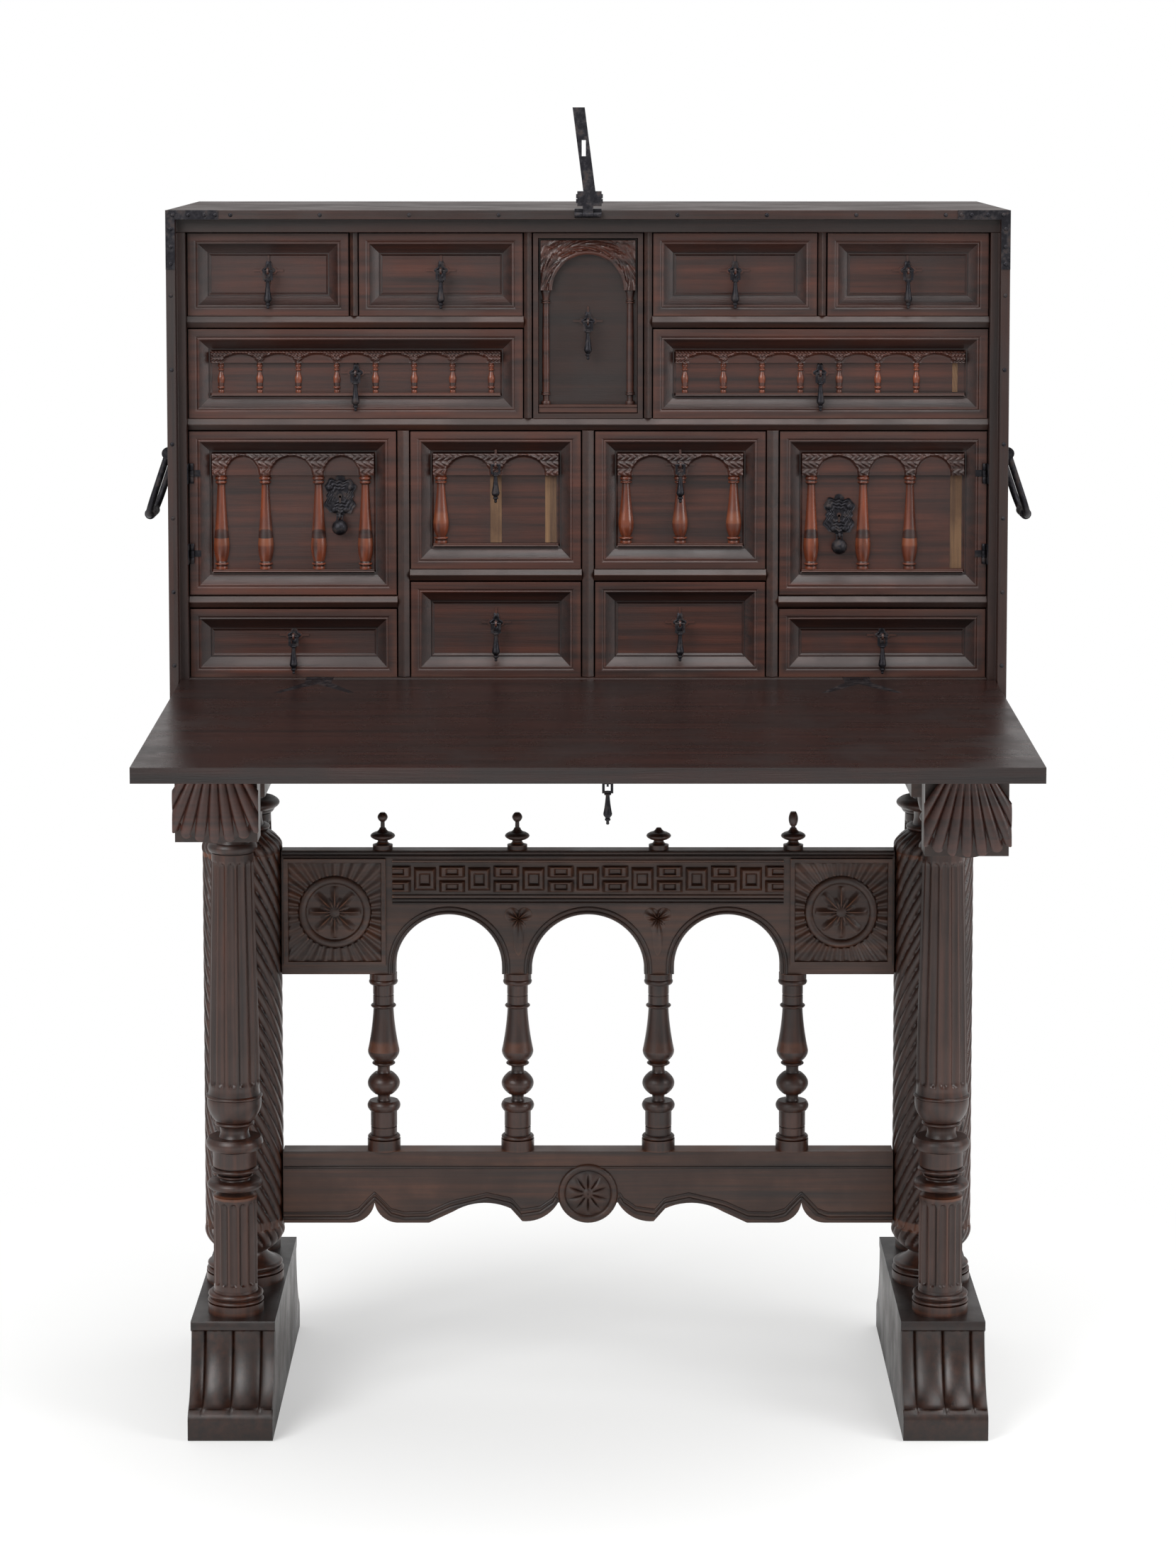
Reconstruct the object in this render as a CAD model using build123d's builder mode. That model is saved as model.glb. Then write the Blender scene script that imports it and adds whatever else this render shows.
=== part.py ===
from build123d import *

import math
import os

# A writing cabinet (vargueno) with its fall front open, on a bridge-type stand.
# X runs along the front, Y from the front to the back, Z up; the origin lies on the floor, under the
# middle of the whole. A depth is counted backwards from the front plane of the case.

# Driving dimensions in millimetres.
GLUE = 0.05  # glue line between two pieces of one sub-part
SLACK = 0.5  # between a piece and one that moves past it
DRAWER_SLACK = 1.5

CASE_WIDTH = 1040
CASE_DEPTH = 430
CASE_HEIGHT = 609
SIDE_THICK = 22
TOP_THICK = 28
BOTTOM_THICK = 25
BACK_THICK = 18
LIP = 11.5  # width of the edge left round the fall by the rebate

FALL_THICK = 18
FALL_DROOP = 1.6  # degrees below level when open
FALL_GAP = 1.5
FALL_DROP = 0.3  # of its inner face below the floor of the case
PIN_INSET = 3.7  # hinge pin below the inner face and before the rear edge of the fall
CLAMP_WIDTH = 95
CLAMP_MITRE = 85

SHELF_THICK = 15
UPRIGHT_THICK = 15
SMALL_UPRIGHT_THICK = 10
DIVIDER_DEPTH = 35
DIVIDER_NOSE = 5
INNER_HALF_NICHE = 74.5  # middle of the uprights beside the niche
OUTER_CELL_WIDTH = 202.5  # room of the outer small drawers
DOOR_CELL_WIDTH = 260.5
TOP_ROW_HEIGHT = 104
LONG_ROW_HEIGHT = 112.5
ARCH_ROW_HEIGHT = 173.5
DOOR_ROW_HEIGHT = 207.5

FRONT_DEPTH = 34  # front of the drawers and doors
FRONT_THICK = 20
FIELD_SINK = 12
RIM = 9
FRAME = 28
DRAWER_SIDE = 8
DRAWER_BOTTOM = 6
DRAWER_TRAVEL = 250
DRAWER_REAR_GAP = 12

FOOT_HEIGHT = 139
FOOT_WIDTH = 107
FOOT_FLAT = 384
FOOT_TOE = 50
FOOT_LEDGE = 14
FOOT_BASE = 36
TRESTLE_INSET = 70  # from the side of the case in to the middle of a trestle
COLUMN_HEIGHT = 673
COLUMN_SPACING = 144
HEAD_WIDTH = 92
HEAD_HEIGHT = 124
HEAD_LENGTH = 400
SPIRAL_RADIUS = 51.5

BLOCK_WIDTH = 100
BLOCK_DEPTH = 45
BLOCK_HEIGHT = 150.5
LOPER_WIDTH = 60
LOPER_HEIGHT = 52
LOPER_OUT_LEFT = 147  # front of the block before the case
LOPER_OUT_RIGHT = 238

STRETCHER_TOP = 312
STRETCHER_HEIGHT = 95
STRETCHER_THICK = 32
RAIL_BOTTOM = 546.5
RAIL_HEIGHT = 163
RAIL_THICK = 26
RAIL_TOP_MEMBER = 84  # from the top of the rail down to the crown of its arches
SIDE_ARCH_X = 181
SIDE_ARCH_RADIUS = 69
MID_ARCH_RADIUS = 73
BALUSTER_X = (92, 267)

DROP_LENGTH = 47
DROP_RADIUS = 4.9
DROP_STANDOFF = 17.5
EYE_RING = 4.2
EYE_BORE = 2.2
EYE_WIDTH = 2.4
BAR_RADIUS = 1.5
PLATE_THICK = 1.5
BALL_RADIUS = 9.8
BALL_HANG = 14
LOCK_PLATE_WIDTH = 37
LOCK_PLATE_HEIGHT = 52

HASP_LENGTH = 132
HASP_WIDTH = 15
HASP_THICK = 4
HASP_BEND = 13.3  # sideways, over the length of the strap
HASP_LEAN = 5  # degrees behind upright
HASP_BASE = 29

BAIL_SPREAD = 124
BAIL_DROP = 85
BAIL_RADIUS = 4.2
BAIL_LEAN = 18.6  # degrees out from hanging straight down
BAIL_DEPTH = 165
BAIL_Z = 1236
BAIL_STANDOFF = 10

STRAP_THICK = 1.2
STRAP_LONG = 65
STRAP_DOWN = 73

HINGE_INSET = 185  # hinges of the fall, from the sides of the case
HINGE_WIDTH = 33
LEAF_THICK = 2
LEAF_REACH = 45

# Places that follow from them.
CASE_BOTTOM = FOOT_HEIGHT + COLUMN_HEIGHT + HEAD_HEIGHT
HEAD_BOTTOM = CASE_BOTTOM - HEAD_HEIGHT
CASE_TOP = CASE_BOTTOM + CASE_HEIGHT
HALF = CASE_WIDTH / 2
INNER = HALF - SIDE_THICK
INNER_SMALL_DRAWERS = INNER - OUTER_CELL_WIDTH - SMALL_UPRIGHT_THICK / 2
INNER_DOORS = INNER - DOOR_CELL_WIDTH - UPRIGHT_THICK / 2
TRESTLE_X = HALF - TRESTLE_INSET
HINGE_X = HALF - HINGE_INSET
FLOOR_Z = CASE_BOTTOM + BOTTOM_THICK
CEILING_Z = CASE_TOP - TOP_THICK
REBATE = FALL_THICK + 1
PIN_DEPTH = FALL_THICK + SLACK - PIN_INSET
PIN_Z = FLOOR_Z - PIN_INSET - FALL_DROP
FALL_LENGTH = CASE_TOP - LIP - FALL_GAP - PIN_Z  # from the pin to the front edge
FALL_HALF = HALF - LIP - FALL_GAP
BACK_DEPTH = CASE_DEPTH - BACK_THICK
FIELD_DEPTH = FRONT_DEPTH + FIELD_SINK
MID_DEPTH = CASE_DEPTH / 2
TILT = math.radians(FALL_DROOP)
FRONT_REACH = FALL_LENGTH * math.cos(TILT) + PIN_INSET * math.sin(TILT) - PIN_DEPTH
BACK_REACH = MID_DEPTH + FOOT_FLAT / 2 + FOOT_TOE
CASE_FRONT = (FRONT_REACH - BACK_REACH) / 2  # Y of the front plane of the case

TOP_SHELF_Z = CEILING_Z - TOP_ROW_HEIGHT - SHELF_THICK
MAIN_SHELF_Z = TOP_SHELF_Z - LONG_ROW_HEIGHT - SHELF_THICK
ARCH_SHELF_Z = MAIN_SHELF_Z - ARCH_ROW_HEIGHT - SHELF_THICK
DOOR_SHELF_Z = MAIN_SHELF_Z - DOOR_ROW_HEIGHT - SHELF_THICK


def across(depth):
    """Y of a point that lies at this depth behind the front plane of the case."""
    return CASE_FRONT + depth


def front_plane(depth):
    """Upright plane at this depth that faces the front; its x is X and its y is Z."""
    return Plane(origin=(0, across(depth), 0), x_dir=(1, 0, 0), z_dir=(0, -1, 0))


def side_plane(x):
    """Upright plane across X; its x is Y and its y is Z."""
    return Plane(origin=(x, 0, 0), x_dir=(0, 1, 0), z_dir=(1, 0, 0))


def board(x_span, depth_span, z_span, mode=Mode.ADD):
    """A square-edged board between two places on each axis."""
    middle = [(span[0] + span[1]) / 2 for span in (x_span, depth_span, z_span)]
    with Locations((middle[0], across(middle[1]), middle[2])):
        Box(x_span[1] - x_span[0], depth_span[1] - depth_span[0], z_span[1] - z_span[0], mode=mode)


def rod(centre, radius, length, direction, mode=Mode.ADD):
    """A round bar about its centre, along X, Y or Z."""
    turns = {"x": (0, 90, 0), "y": (90, 0, 0), "z": (0, 0, 0)}
    with Locations(centre):
        Cylinder(radius, length, rotation=turns[direction], mode=mode)


def turning(centre, z_span, elements, arc=360):
    """A turned piece on an upright axis, built of (lower radius, upper radius, height, swell) elements.

    The element whose height is None takes what the others leave of the span. Swell bows its outline
    out, or in where it is negative. An arc of 180 keeps the half that faces the front.
    """
    x, y = centre
    free = z_span[1] - z_span[0] - sum(height for _, _, height, _ in elements if height)
    outline = Plane(origin=(x, y, 0), x_dir=(1, 0, 0), z_dir=(0, -1, 0))
    z = z_span[0]
    with BuildSketch(outline) as profile:
        with BuildLine():
            last = (0, z)
            for low, high, height, swell in elements:
                top = z + (height or free)
                if last[0] != low:
                    Line(last, (low, z))
                if swell:
                    ThreePointArc((low, z), ((low + high) / 2 + swell, (z + top) / 2), (high, top))
                else:
                    Line((low, z), (high, top))
                last, z = (high, top), top
            Line(last, (0, z))
            Line((0, z), (0, z_span[0]))
        make_face()
    revolve(profile.sketch, axis=Axis((x, y, 0), (0, 0, -1)), revolution_arc=arc)


def write(piece, name):
    """Labels a finished sub-part and writes its file."""
    piece.part.label = name
    export_step(piece.part, f"parts/{name}.step")


os.makedirs("parts", exist_ok=True)

# ---------------------------------------------------------------- case boards

with BuildPart() as case_top_board:
    board((-HALF, HALF), (0, CASE_DEPTH), (CEILING_Z, CASE_TOP))
    board(
        (-HALF + LIP, HALF - LIP), (0, REBATE), (CEILING_Z, CASE_TOP - LIP), mode=Mode.SUBTRACT
    )
write(case_top_board, "case_top_board")

with BuildPart() as case_bottom_board:
    board((-INNER, INNER), (REBATE + SLACK, BACK_DEPTH), (CASE_BOTTOM, FLOOR_Z))
    for side in (-1, 1):
        board(
            (side * HINGE_X - HINGE_WIDTH / 2 - GLUE, side * HINGE_X + HINGE_WIDTH / 2 + GLUE),
            (0, REBATE + SLACK + LEAF_REACH),
            (FLOOR_Z - LEAF_THICK - SLACK, FLOOR_Z),
            mode=Mode.SUBTRACT,
        )
write(case_bottom_board, "case_bottom_board")

for side, name in ((-1, "left"), (1, "right")):
    outer, inner = sorted((side * HALF, side * INNER))
    edge = sorted((side * INNER, side * (HALF - LIP)))
    with BuildPart() as case_side:
        board((outer, inner), (0, CASE_DEPTH), (CASE_BOTTOM, CEILING_Z))
        board(edge, (0, REBATE), (CASE_BOTTOM, CEILING_Z), mode=Mode.SUBTRACT)
    write(case_side, f"case_side_{name}")

with BuildPart() as case_back_board:
    board((-INNER, INNER), (BACK_DEPTH, CASE_DEPTH), (CASE_BOTTOM, CEILING_Z))
write(case_back_board, "case_back_board")


def ridged_shelf(x_span, z):
    """A shelf with a ridge along its front edge."""
    with BuildSketch(side_plane(x_span[0])) as profile:
        with BuildLine():
            Polyline(
                (across(BACK_DEPTH), z),
                (across(DIVIDER_DEPTH), z),
                (across(DIVIDER_DEPTH - DIVIDER_NOSE), z + SHELF_THICK / 2),
                (across(DIVIDER_DEPTH), z + SHELF_THICK),
                (across(BACK_DEPTH), z + SHELF_THICK),
                close=True,
            )
        make_face()
    extrude(profile.sketch, amount=x_span[1] - x_span[0])


def ridged_upright(x, thick, z_span):
    """An upright divider with a ridge down its front edge."""
    with BuildSketch(Plane.XY.offset(z_span[0])) as profile:
        with BuildLine():
            Polyline(
                (x - thick / 2, across(BACK_DEPTH)),
                (x - thick / 2, across(DIVIDER_DEPTH)),
                (x, across(DIVIDER_DEPTH - DIVIDER_NOSE)),
                (x + thick / 2, across(DIVIDER_DEPTH)),
                (x + thick / 2, across(BACK_DEPTH)),
                close=True,
            )
        make_face()
    extrude(profile.sketch, amount=z_span[1] - z_span[0])


NICHE_SIDE = INNER_HALF_NICHE + SMALL_UPRIGHT_THICK / 2
DOOR_SIDE = INNER_DOORS + UPRIGHT_THICK / 2
ARCH_SIDE = INNER_DOORS - UPRIGHT_THICK / 2
with BuildPart() as shelf_dividers:
    ridged_shelf((-INNER, INNER), MAIN_SHELF_Z)
    ridged_shelf((-INNER, -NICHE_SIDE), TOP_SHELF_Z)
    ridged_shelf((NICHE_SIDE, INNER), TOP_SHELF_Z)
    ridged_shelf((-INNER, -DOOR_SIDE), DOOR_SHELF_Z)
    ridged_shelf((DOOR_SIDE, INNER), DOOR_SHELF_Z)
    ridged_shelf((-ARCH_SIDE, -UPRIGHT_THICK / 2), ARCH_SHELF_Z)
    ridged_shelf((UPRIGHT_THICK / 2, ARCH_SIDE), ARCH_SHELF_Z)
write(shelf_dividers, "shelf_dividers")

with BuildPart() as upright_dividers:
    for side in (-1, 1):
        ridged_upright(
            side * INNER_SMALL_DRAWERS, SMALL_UPRIGHT_THICK, (TOP_SHELF_Z + SHELF_THICK, CEILING_Z)
        )
        ridged_upright(
            side * INNER_HALF_NICHE, SMALL_UPRIGHT_THICK, (MAIN_SHELF_Z + SHELF_THICK, CEILING_Z)
        )
        ridged_upright(side * INNER_DOORS, UPRIGHT_THICK, (FLOOR_Z, MAIN_SHELF_Z))
    ridged_upright(0, UPRIGHT_THICK, (FLOOR_Z, MAIN_SHELF_Z))
write(upright_dividers, "upright_dividers")

# ---------------------------------------------------------------- iron pulls and their plates


def drop_eye(x, pivot_depth, z, face_depth):
    """Lobed iron plate on a face, with the staple whose eye holds a drop pull."""
    with BuildSketch(front_plane(face_depth - GLUE)) as plate:
        with Locations((x, z)):
            Circle(7)
            with PolarLocations(6.5, 4):
                Circle(4.2)
                Rectangle(12, 2.6, align=(Align.MIN, Align.CENTER))
    extrude(plate.sketch, amount=PLATE_THICK)
    with BuildSketch(side_plane(x)) as ring:
        with Locations((across(pivot_depth), z)):
            Circle(EYE_RING)
            Circle(EYE_BORE, mode=Mode.SUBTRACT)
    extrude(ring.sketch, amount=EYE_WIDTH / 2, both=True)
    shank = (pivot_depth + EYE_RING - 1, face_depth - PLATE_THICK / 2)
    board((x - EYE_WIDTH / 2, x + EYE_WIDTH / 2), shank, (z - EYE_WIDTH / 2, z + EYE_WIDTH / 2))


LOOP_HALF = 6.25
LOOP_SIDE = 3
LOOP_HEIGHT = 9
COLLAR = 2.5


def drop_pull(x, pivot_depth, z):
    """Cast drop that hangs from its bar: a square loop, a collar, a swelling stem and a bead."""
    y = across(pivot_depth)
    rod((x, y, z), BAR_RADIUS, 2 * LOOP_HALF, "x")
    half_depth = BAR_RADIUS
    for side in (-1, 1):
        outer, inner = sorted((x + side * LOOP_HALF, x + side * (LOOP_HALF - LOOP_SIDE)))
        board((outer, inner), (pivot_depth - half_depth, pivot_depth + half_depth), (z - LOOP_HEIGHT, z))
    loop_foot = z - LOOP_HEIGHT
    board(
        (x - LOOP_HALF, x + LOOP_HALF),
        (pivot_depth - half_depth, pivot_depth + half_depth),
        (loop_foot - COLLAR, loop_foot),
    )
    turning(
        (x, y),
        (z - DROP_LENGTH, loop_foot),
        [
            (0.8, 1.6, 2.5, 0.6),
            (1.6, 1.8, 2.0, 0),
            (2.6, 2.6, 2.6, 0.6),
            (2.2, 3.4, 1.8, 0),
            (3.4, DROP_RADIUS, 4.0, 0.6),
            (DROP_RADIUS, 2.2, None, -0.4),
            (3.4, 3.4, 2.0, 0.6),
            (2.6, 2.6, COLLAR, 0),
        ],
    )


PIVOT_DEPTH = FIELD_DEPTH - DROP_STANDOFF

# ---------------------------------------------------------------- drawers

FRONT_BACK = FRONT_DEPTH + FRONT_THICK
TRIM_THICK = 6


def moulded_front(x_span, z_span, rim, frame):
    """A front board whose mitred frame slopes down to a sunk field."""
    board(x_span, (FRONT_DEPTH, FRONT_BACK), z_span)
    middle = ((x_span[0] + x_span[1]) / 2, (z_span[0] + z_span[1]) / 2)
    width, height = x_span[1] - x_span[0], z_span[1] - z_span[0]
    outlines = []
    for depth, inset in ((FRONT_DEPTH, rim), (FIELD_DEPTH, frame)):
        with BuildSketch(front_plane(depth)) as outline:
            with Locations(middle):
                Rectangle(width - 2 * inset, height - 2 * inset)
        outlines.append(outline.sketch)
    loft(outlines, mode=Mode.SUBTRACT)


def drawer_boards(x_span, z_span):
    """The sides, back and bottom of a drawer, behind its front."""
    rear = BACK_DEPTH - DRAWER_REAR_GAP
    length = (FRONT_BACK + GLUE, rear)
    top = z_span[1] - DRAWER_BOTTOM
    board((x_span[0], x_span[0] + DRAWER_SIDE), length, (z_span[0], top))
    board((x_span[1] - DRAWER_SIDE, x_span[1]), length, (z_span[0], top))
    between = (x_span[0] + DRAWER_SIDE + GLUE, x_span[1] - DRAWER_SIDE - GLUE)
    board(between, length, (z_span[0], z_span[0] + DRAWER_BOTTOM))
    board(between, (rear - DRAWER_SIDE, rear), (z_span[0] + DRAWER_BOTTOM + GLUE, top))


def half_baluster(x, z_span, radius):
    """Half-round turned baluster glued to the field."""
    height = z_span[1] - z_span[0]
    ring = height * 0.05
    turning(
        (x, across(FIELD_DEPTH) - GLUE),
        z_span,
        [
            (radius * 0.7, radius * 0.7, ring, 0),
            (radius * 0.7, radius * 0.5, ring, radius * 0.15),
            (radius * 0.6, radius, height * 0.24, radius * 0.1),
            (radius, radius * 0.45, None, -radius * 0.05),
            (radius * 0.6, radius * 0.6, ring, radius * 0.15),
            (radius * 0.7, radius * 0.7, ring, 0),
        ],
        arc=180,
    )


def applied_strip(x_span, z_span, thick=TRIM_THICK):
    """A carved or plain strip glued flat to the field."""
    board(x_span, (FIELD_DEPTH - thick, FIELD_DEPTH - GLUE), z_span)


def drawer(name, x_span, z_span, pivot_z, trim=None, rim=RIM, frame=FRAME, face=FIELD_DEPTH):
    """A drawer with its front, boards, trim and the plate on its face, and its pull; returns the pivot."""
    x_span = (x_span[0] + DRAWER_SLACK, x_span[1] - DRAWER_SLACK)
    z_span = (z_span[0], z_span[1] - DRAWER_SLACK)
    x = (x_span[0] + x_span[1]) / 2
    with BuildPart() as body:
        moulded_front(x_span, z_span, rim, frame)
        drawer_boards(x_span, z_span)
        drop_eye(x, PIVOT_DEPTH, pivot_z, face)
        if trim:
            trim(x_span, z_span)
    write(body, f"drawer_{name}")
    with BuildPart() as pull:
        drop_pull(x, PIVOT_DEPTH, pivot_z)
    write(pull, f"pull_{name}")
    return (x, across(PIVOT_DEPTH), pivot_z)


PIVOTS = {}

TOP_ROW = (TOP_SHELF_Z + SHELF_THICK, CEILING_Z)
OUTER_CELL = (INNER_SMALL_DRAWERS + SMALL_UPRIGHT_THICK / 2, INNER)
NEXT_CELL = (NICHE_SIDE, INNER_SMALL_DRAWERS - SMALL_UPRIGHT_THICK / 2)
TOP_CELLS = (
    ("top_1", (-OUTER_CELL[1], -OUTER_CELL[0])),
    ("top_2", (-NEXT_CELL[1], -NEXT_CELL[0])),
    ("top_3", NEXT_CELL),
    ("top_4", OUTER_CELL),
)
TOP_PULL_RISE = 4
for name, cell in TOP_CELLS:
    PIVOTS[name] = drawer(name, cell, TOP_ROW, sum(TOP_ROW) / 2 + TOP_PULL_RISE)

# The long drawers carry an arcade of eight small balusters; the right one has lost its last.
LONG_ROW = (MAIN_SHELF_Z + SHELF_THICK, TOP_SHELF_Z)
LONG_BALUSTERS = 8
LONG_BALUSTER_RADIUS = 3.8
LONG_FRIEZE = 14
LONG_PLINTH = 3
LONG_END = 11.5  # from the end of the field to the first baluster


def long_arcade(count):
    """Trim for a long drawer that still holds this many of its balusters."""

    def add_trim(x_span, z_span):
        left, right = x_span[0] + FRAME, x_span[1] - FRAME
        low, high = z_span[0] + FRAME, z_span[1] - FRAME
        applied_strip((left, right), (high - LONG_FRIEZE, high))
        applied_strip((left, right), (low, low + LONG_PLINTH))
        pitch = (right - left - 2 * LONG_END) / (LONG_BALUSTERS - 1)
        for number in range(count):
            x = left + LONG_END + pitch * number
            feet = low + LONG_PLINTH + GLUE
            half_baluster(x, (feet, high - LONG_FRIEZE - GLUE), LONG_BALUSTER_RADIUS)

    return add_trim


for name, cell, count in (
    ("long_left", (-INNER, -NICHE_SIDE), LONG_BALUSTERS),
    ("long_right", (NICHE_SIDE, INNER), LONG_BALUSTERS - 1),
):
    PIVOTS[name] = drawer(name, cell, LONG_ROW, sum(LONG_ROW) / 2, long_arcade(count))

# The niche drawer: a carved arch on two slim colonnettes over a plinth, before a plain panel.
NICHE_RIM = 6
NICHE_FRAME = 7
NICHE_PLINTH = 9
ARCH_BLOCK_HALF = 58.5
ARCH_BLOCK_DROP = 12
ARCH_BLOCK_HEIGHT = 60.5
ARCH_BLOCK_THICK = 9
NICHE_ARCH_RADIUS = 44.5
COLONNETTE_X = 52.5
COLONNETTE_RADIUS = 4
NICHE_PIVOT_DROP = 111


def niche_trim(x_span, z_span):
    """Arch block, colonnettes and plinth of the niche."""
    top = z_span[1] - ARCH_BLOCK_DROP + DRAWER_SLACK
    bottom = top - ARCH_BLOCK_HEIGHT
    plinth_top = z_span[0] + NICHE_FRAME + NICHE_PLINTH
    edge = NICHE_FRAME + GLUE
    applied_strip(
        (x_span[0] + edge, x_span[1] - edge), (z_span[0] + edge, plinth_top), ARCH_BLOCK_THICK
    )
    with BuildSketch(front_plane(FIELD_DEPTH - GLUE)) as arch:
        with Locations((0, (top + bottom) / 2)):
            Rectangle(2 * ARCH_BLOCK_HALF, ARCH_BLOCK_HEIGHT)
        with Locations((0, bottom)):
            Circle(NICHE_ARCH_RADIUS, mode=Mode.SUBTRACT)
    extrude(arch.sketch, amount=ARCH_BLOCK_THICK)
    for side in (-1, 1):
        turning(
            (side * COLONNETTE_X, across(FIELD_DEPTH) - GLUE),
            (plinth_top + GLUE, bottom - GLUE),
            [
                (COLONNETTE_RADIUS * 1.3, COLONNETTE_RADIUS * 1.3, 5, 0),
                (COLONNETTE_RADIUS * 0.8, COLONNETTE_RADIUS * 0.8, 10, 0),
                (COLONNETTE_RADIUS * 1.3, COLONNETTE_RADIUS * 1.3, 1.5, 0.4),
                (COLONNETTE_RADIUS, COLONNETTE_RADIUS * 0.85, None, 0),
                (COLONNETTE_RADIUS * 1.3, COLONNETTE_RADIUS * 1.3, 1.5, 0.4),
                (COLONNETTE_RADIUS * 0.8, COLONNETTE_RADIUS * 1.2, 12, 0),
            ],
            arc=180,
        )


NICHE_ROW = (MAIN_SHELF_Z + SHELF_THICK, CEILING_Z)
NICHE_CELL = (-INNER_HALF_NICHE + SMALL_UPRIGHT_THICK / 2, INNER_HALF_NICHE - SMALL_UPRIGHT_THICK / 2)
PIVOTS["niche"] = drawer(
    "niche",
    NICHE_CELL,
    NICHE_ROW,
    CEILING_Z - NICHE_PIVOT_DROP,
    niche_trim,
    rim=NICHE_RIM,
    frame=NICHE_FRAME,
)

# The middle drawers and the doors carry taller arcades; the places where balusters are lost stay bare.
TALL_FRIEZE = 27
TALL_PLINTH = 3
TALL_BALUSTER_RADIUS = 9


def tall_arcade(places):
    """Trim for a tall field whose balusters stand at these shares of its width."""

    def add_trim(x_span, z_span):
        left, right = x_span[0] + FRAME, x_span[1] - FRAME
        low, high = z_span[0] + FRAME, z_span[1] - FRAME
        applied_strip((left, right), (high - TALL_FRIEZE, high))
        applied_strip((left, right), (low, low + TALL_PLINTH))
        for place in places:
            x = left + (right - left) * place
            feet = low + TALL_PLINTH + GLUE
            half_baluster(x, (feet, high - TALL_FRIEZE - GLUE), TALL_BALUSTER_RADIUS)

    return add_trim


ARCH_ROW = (ARCH_SHELF_Z + SHELF_THICK, MAIN_SHELF_Z)
LEFT_CELL = (-ARCH_SIDE, -UPRIGHT_THICK / 2)
RIGHT_CELL = (UPRIGHT_THICK / 2, ARCH_SIDE)
ARCH_PULL_DROP = 43
for name, cell, places in (
    ("arch_left", LEFT_CELL, (0.06,)),
    ("arch_right", RIGHT_CELL, (0.067, 0.5, 0.93)),
):
    PIVOTS[name] = drawer(
        name,
        cell,
        ARCH_ROW,
        ARCH_ROW[1] - ARCH_PULL_DROP,
        tall_arcade(places),
        face=FIELD_DEPTH - TRIM_THICK,
    )

LOWER_ROW = (FLOOR_Z, ARCH_SHELF_Z)
LOWER_PULL_RISE = 7
for name, cell in (("lower_left", LEFT_CELL), ("lower_right", RIGHT_CELL)):
    PIVOTS[name] = drawer(name, cell, LOWER_ROW, sum(LOWER_ROW) / 2 + LOWER_PULL_RISE)

BOTTOM_ROW = (FLOOR_Z, DOOR_SHELF_Z)
BOTTOM_PULL_RISE = 8
for name, cell in (
    ("bottom_left", (-INNER, -DOOR_SIDE)),
    ("bottom_right", (DOOR_SIDE, INNER)),
):
    PIVOTS[name] = drawer(name, cell, BOTTOM_ROW, sum(BOTTOM_ROW) / 2 + BOTTOM_PULL_RISE)

# ---------------------------------------------------------------- doors

HINGE_RADIUS = 3
HINGE_PIN = 1.2
HINGE_BORE = 1.5
HINGE_KNUCKLE = 8
HINGE_OFFSET = 4.5  # from the side of the case in to the axis
HINGE_DEPTH = 30.5
HINGE_LEAF = 11
LEAF_SHEET = 1
HINGE_INSETS = (52, 52)  # below the top and above the foot of the door
DOOR_ROW = (DOOR_SHELF_Z + SHELF_THICK, MAIN_SHELF_Z)
DOOR_SPAN = (DOOR_SIDE + DRAWER_SLACK, INNER - DRAWER_SLACK)
DOOR_Z = (DOOR_ROW[0] + DRAWER_SLACK, DOOR_ROW[1] - DRAWER_SLACK)
LOCK_CASE = (52, 13, 60)
LOCK_X = (INNER - 188.5, INNER - 184.5)  # of the plates on the left and right doors
LOCK_DOWN = (82.5, 106.5)  # from the top of the cell
KEYHOLE_RADIUS = 2.6
KEYHOLE_DROP = 11
BALL_DEPTH = 35
HINGE_ZS = (DOOR_Z[0] + HINGE_INSETS[1], DOOR_Z[1] - HINGE_INSETS[0])


def keyhole(x, z, depth, length):
    """A keyhole cut backwards from this depth."""
    with BuildSketch(front_plane(depth)) as hole:
        with Locations((x, z)):
            Circle(KEYHOLE_RADIUS)
        with Locations((x, z - KEYHOLE_DROP / 2)):
            Rectangle(KEYHOLE_RADIUS, KEYHOLE_DROP)
    extrude(hole.sketch, amount=-length, mode=Mode.SUBTRACT)


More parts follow.
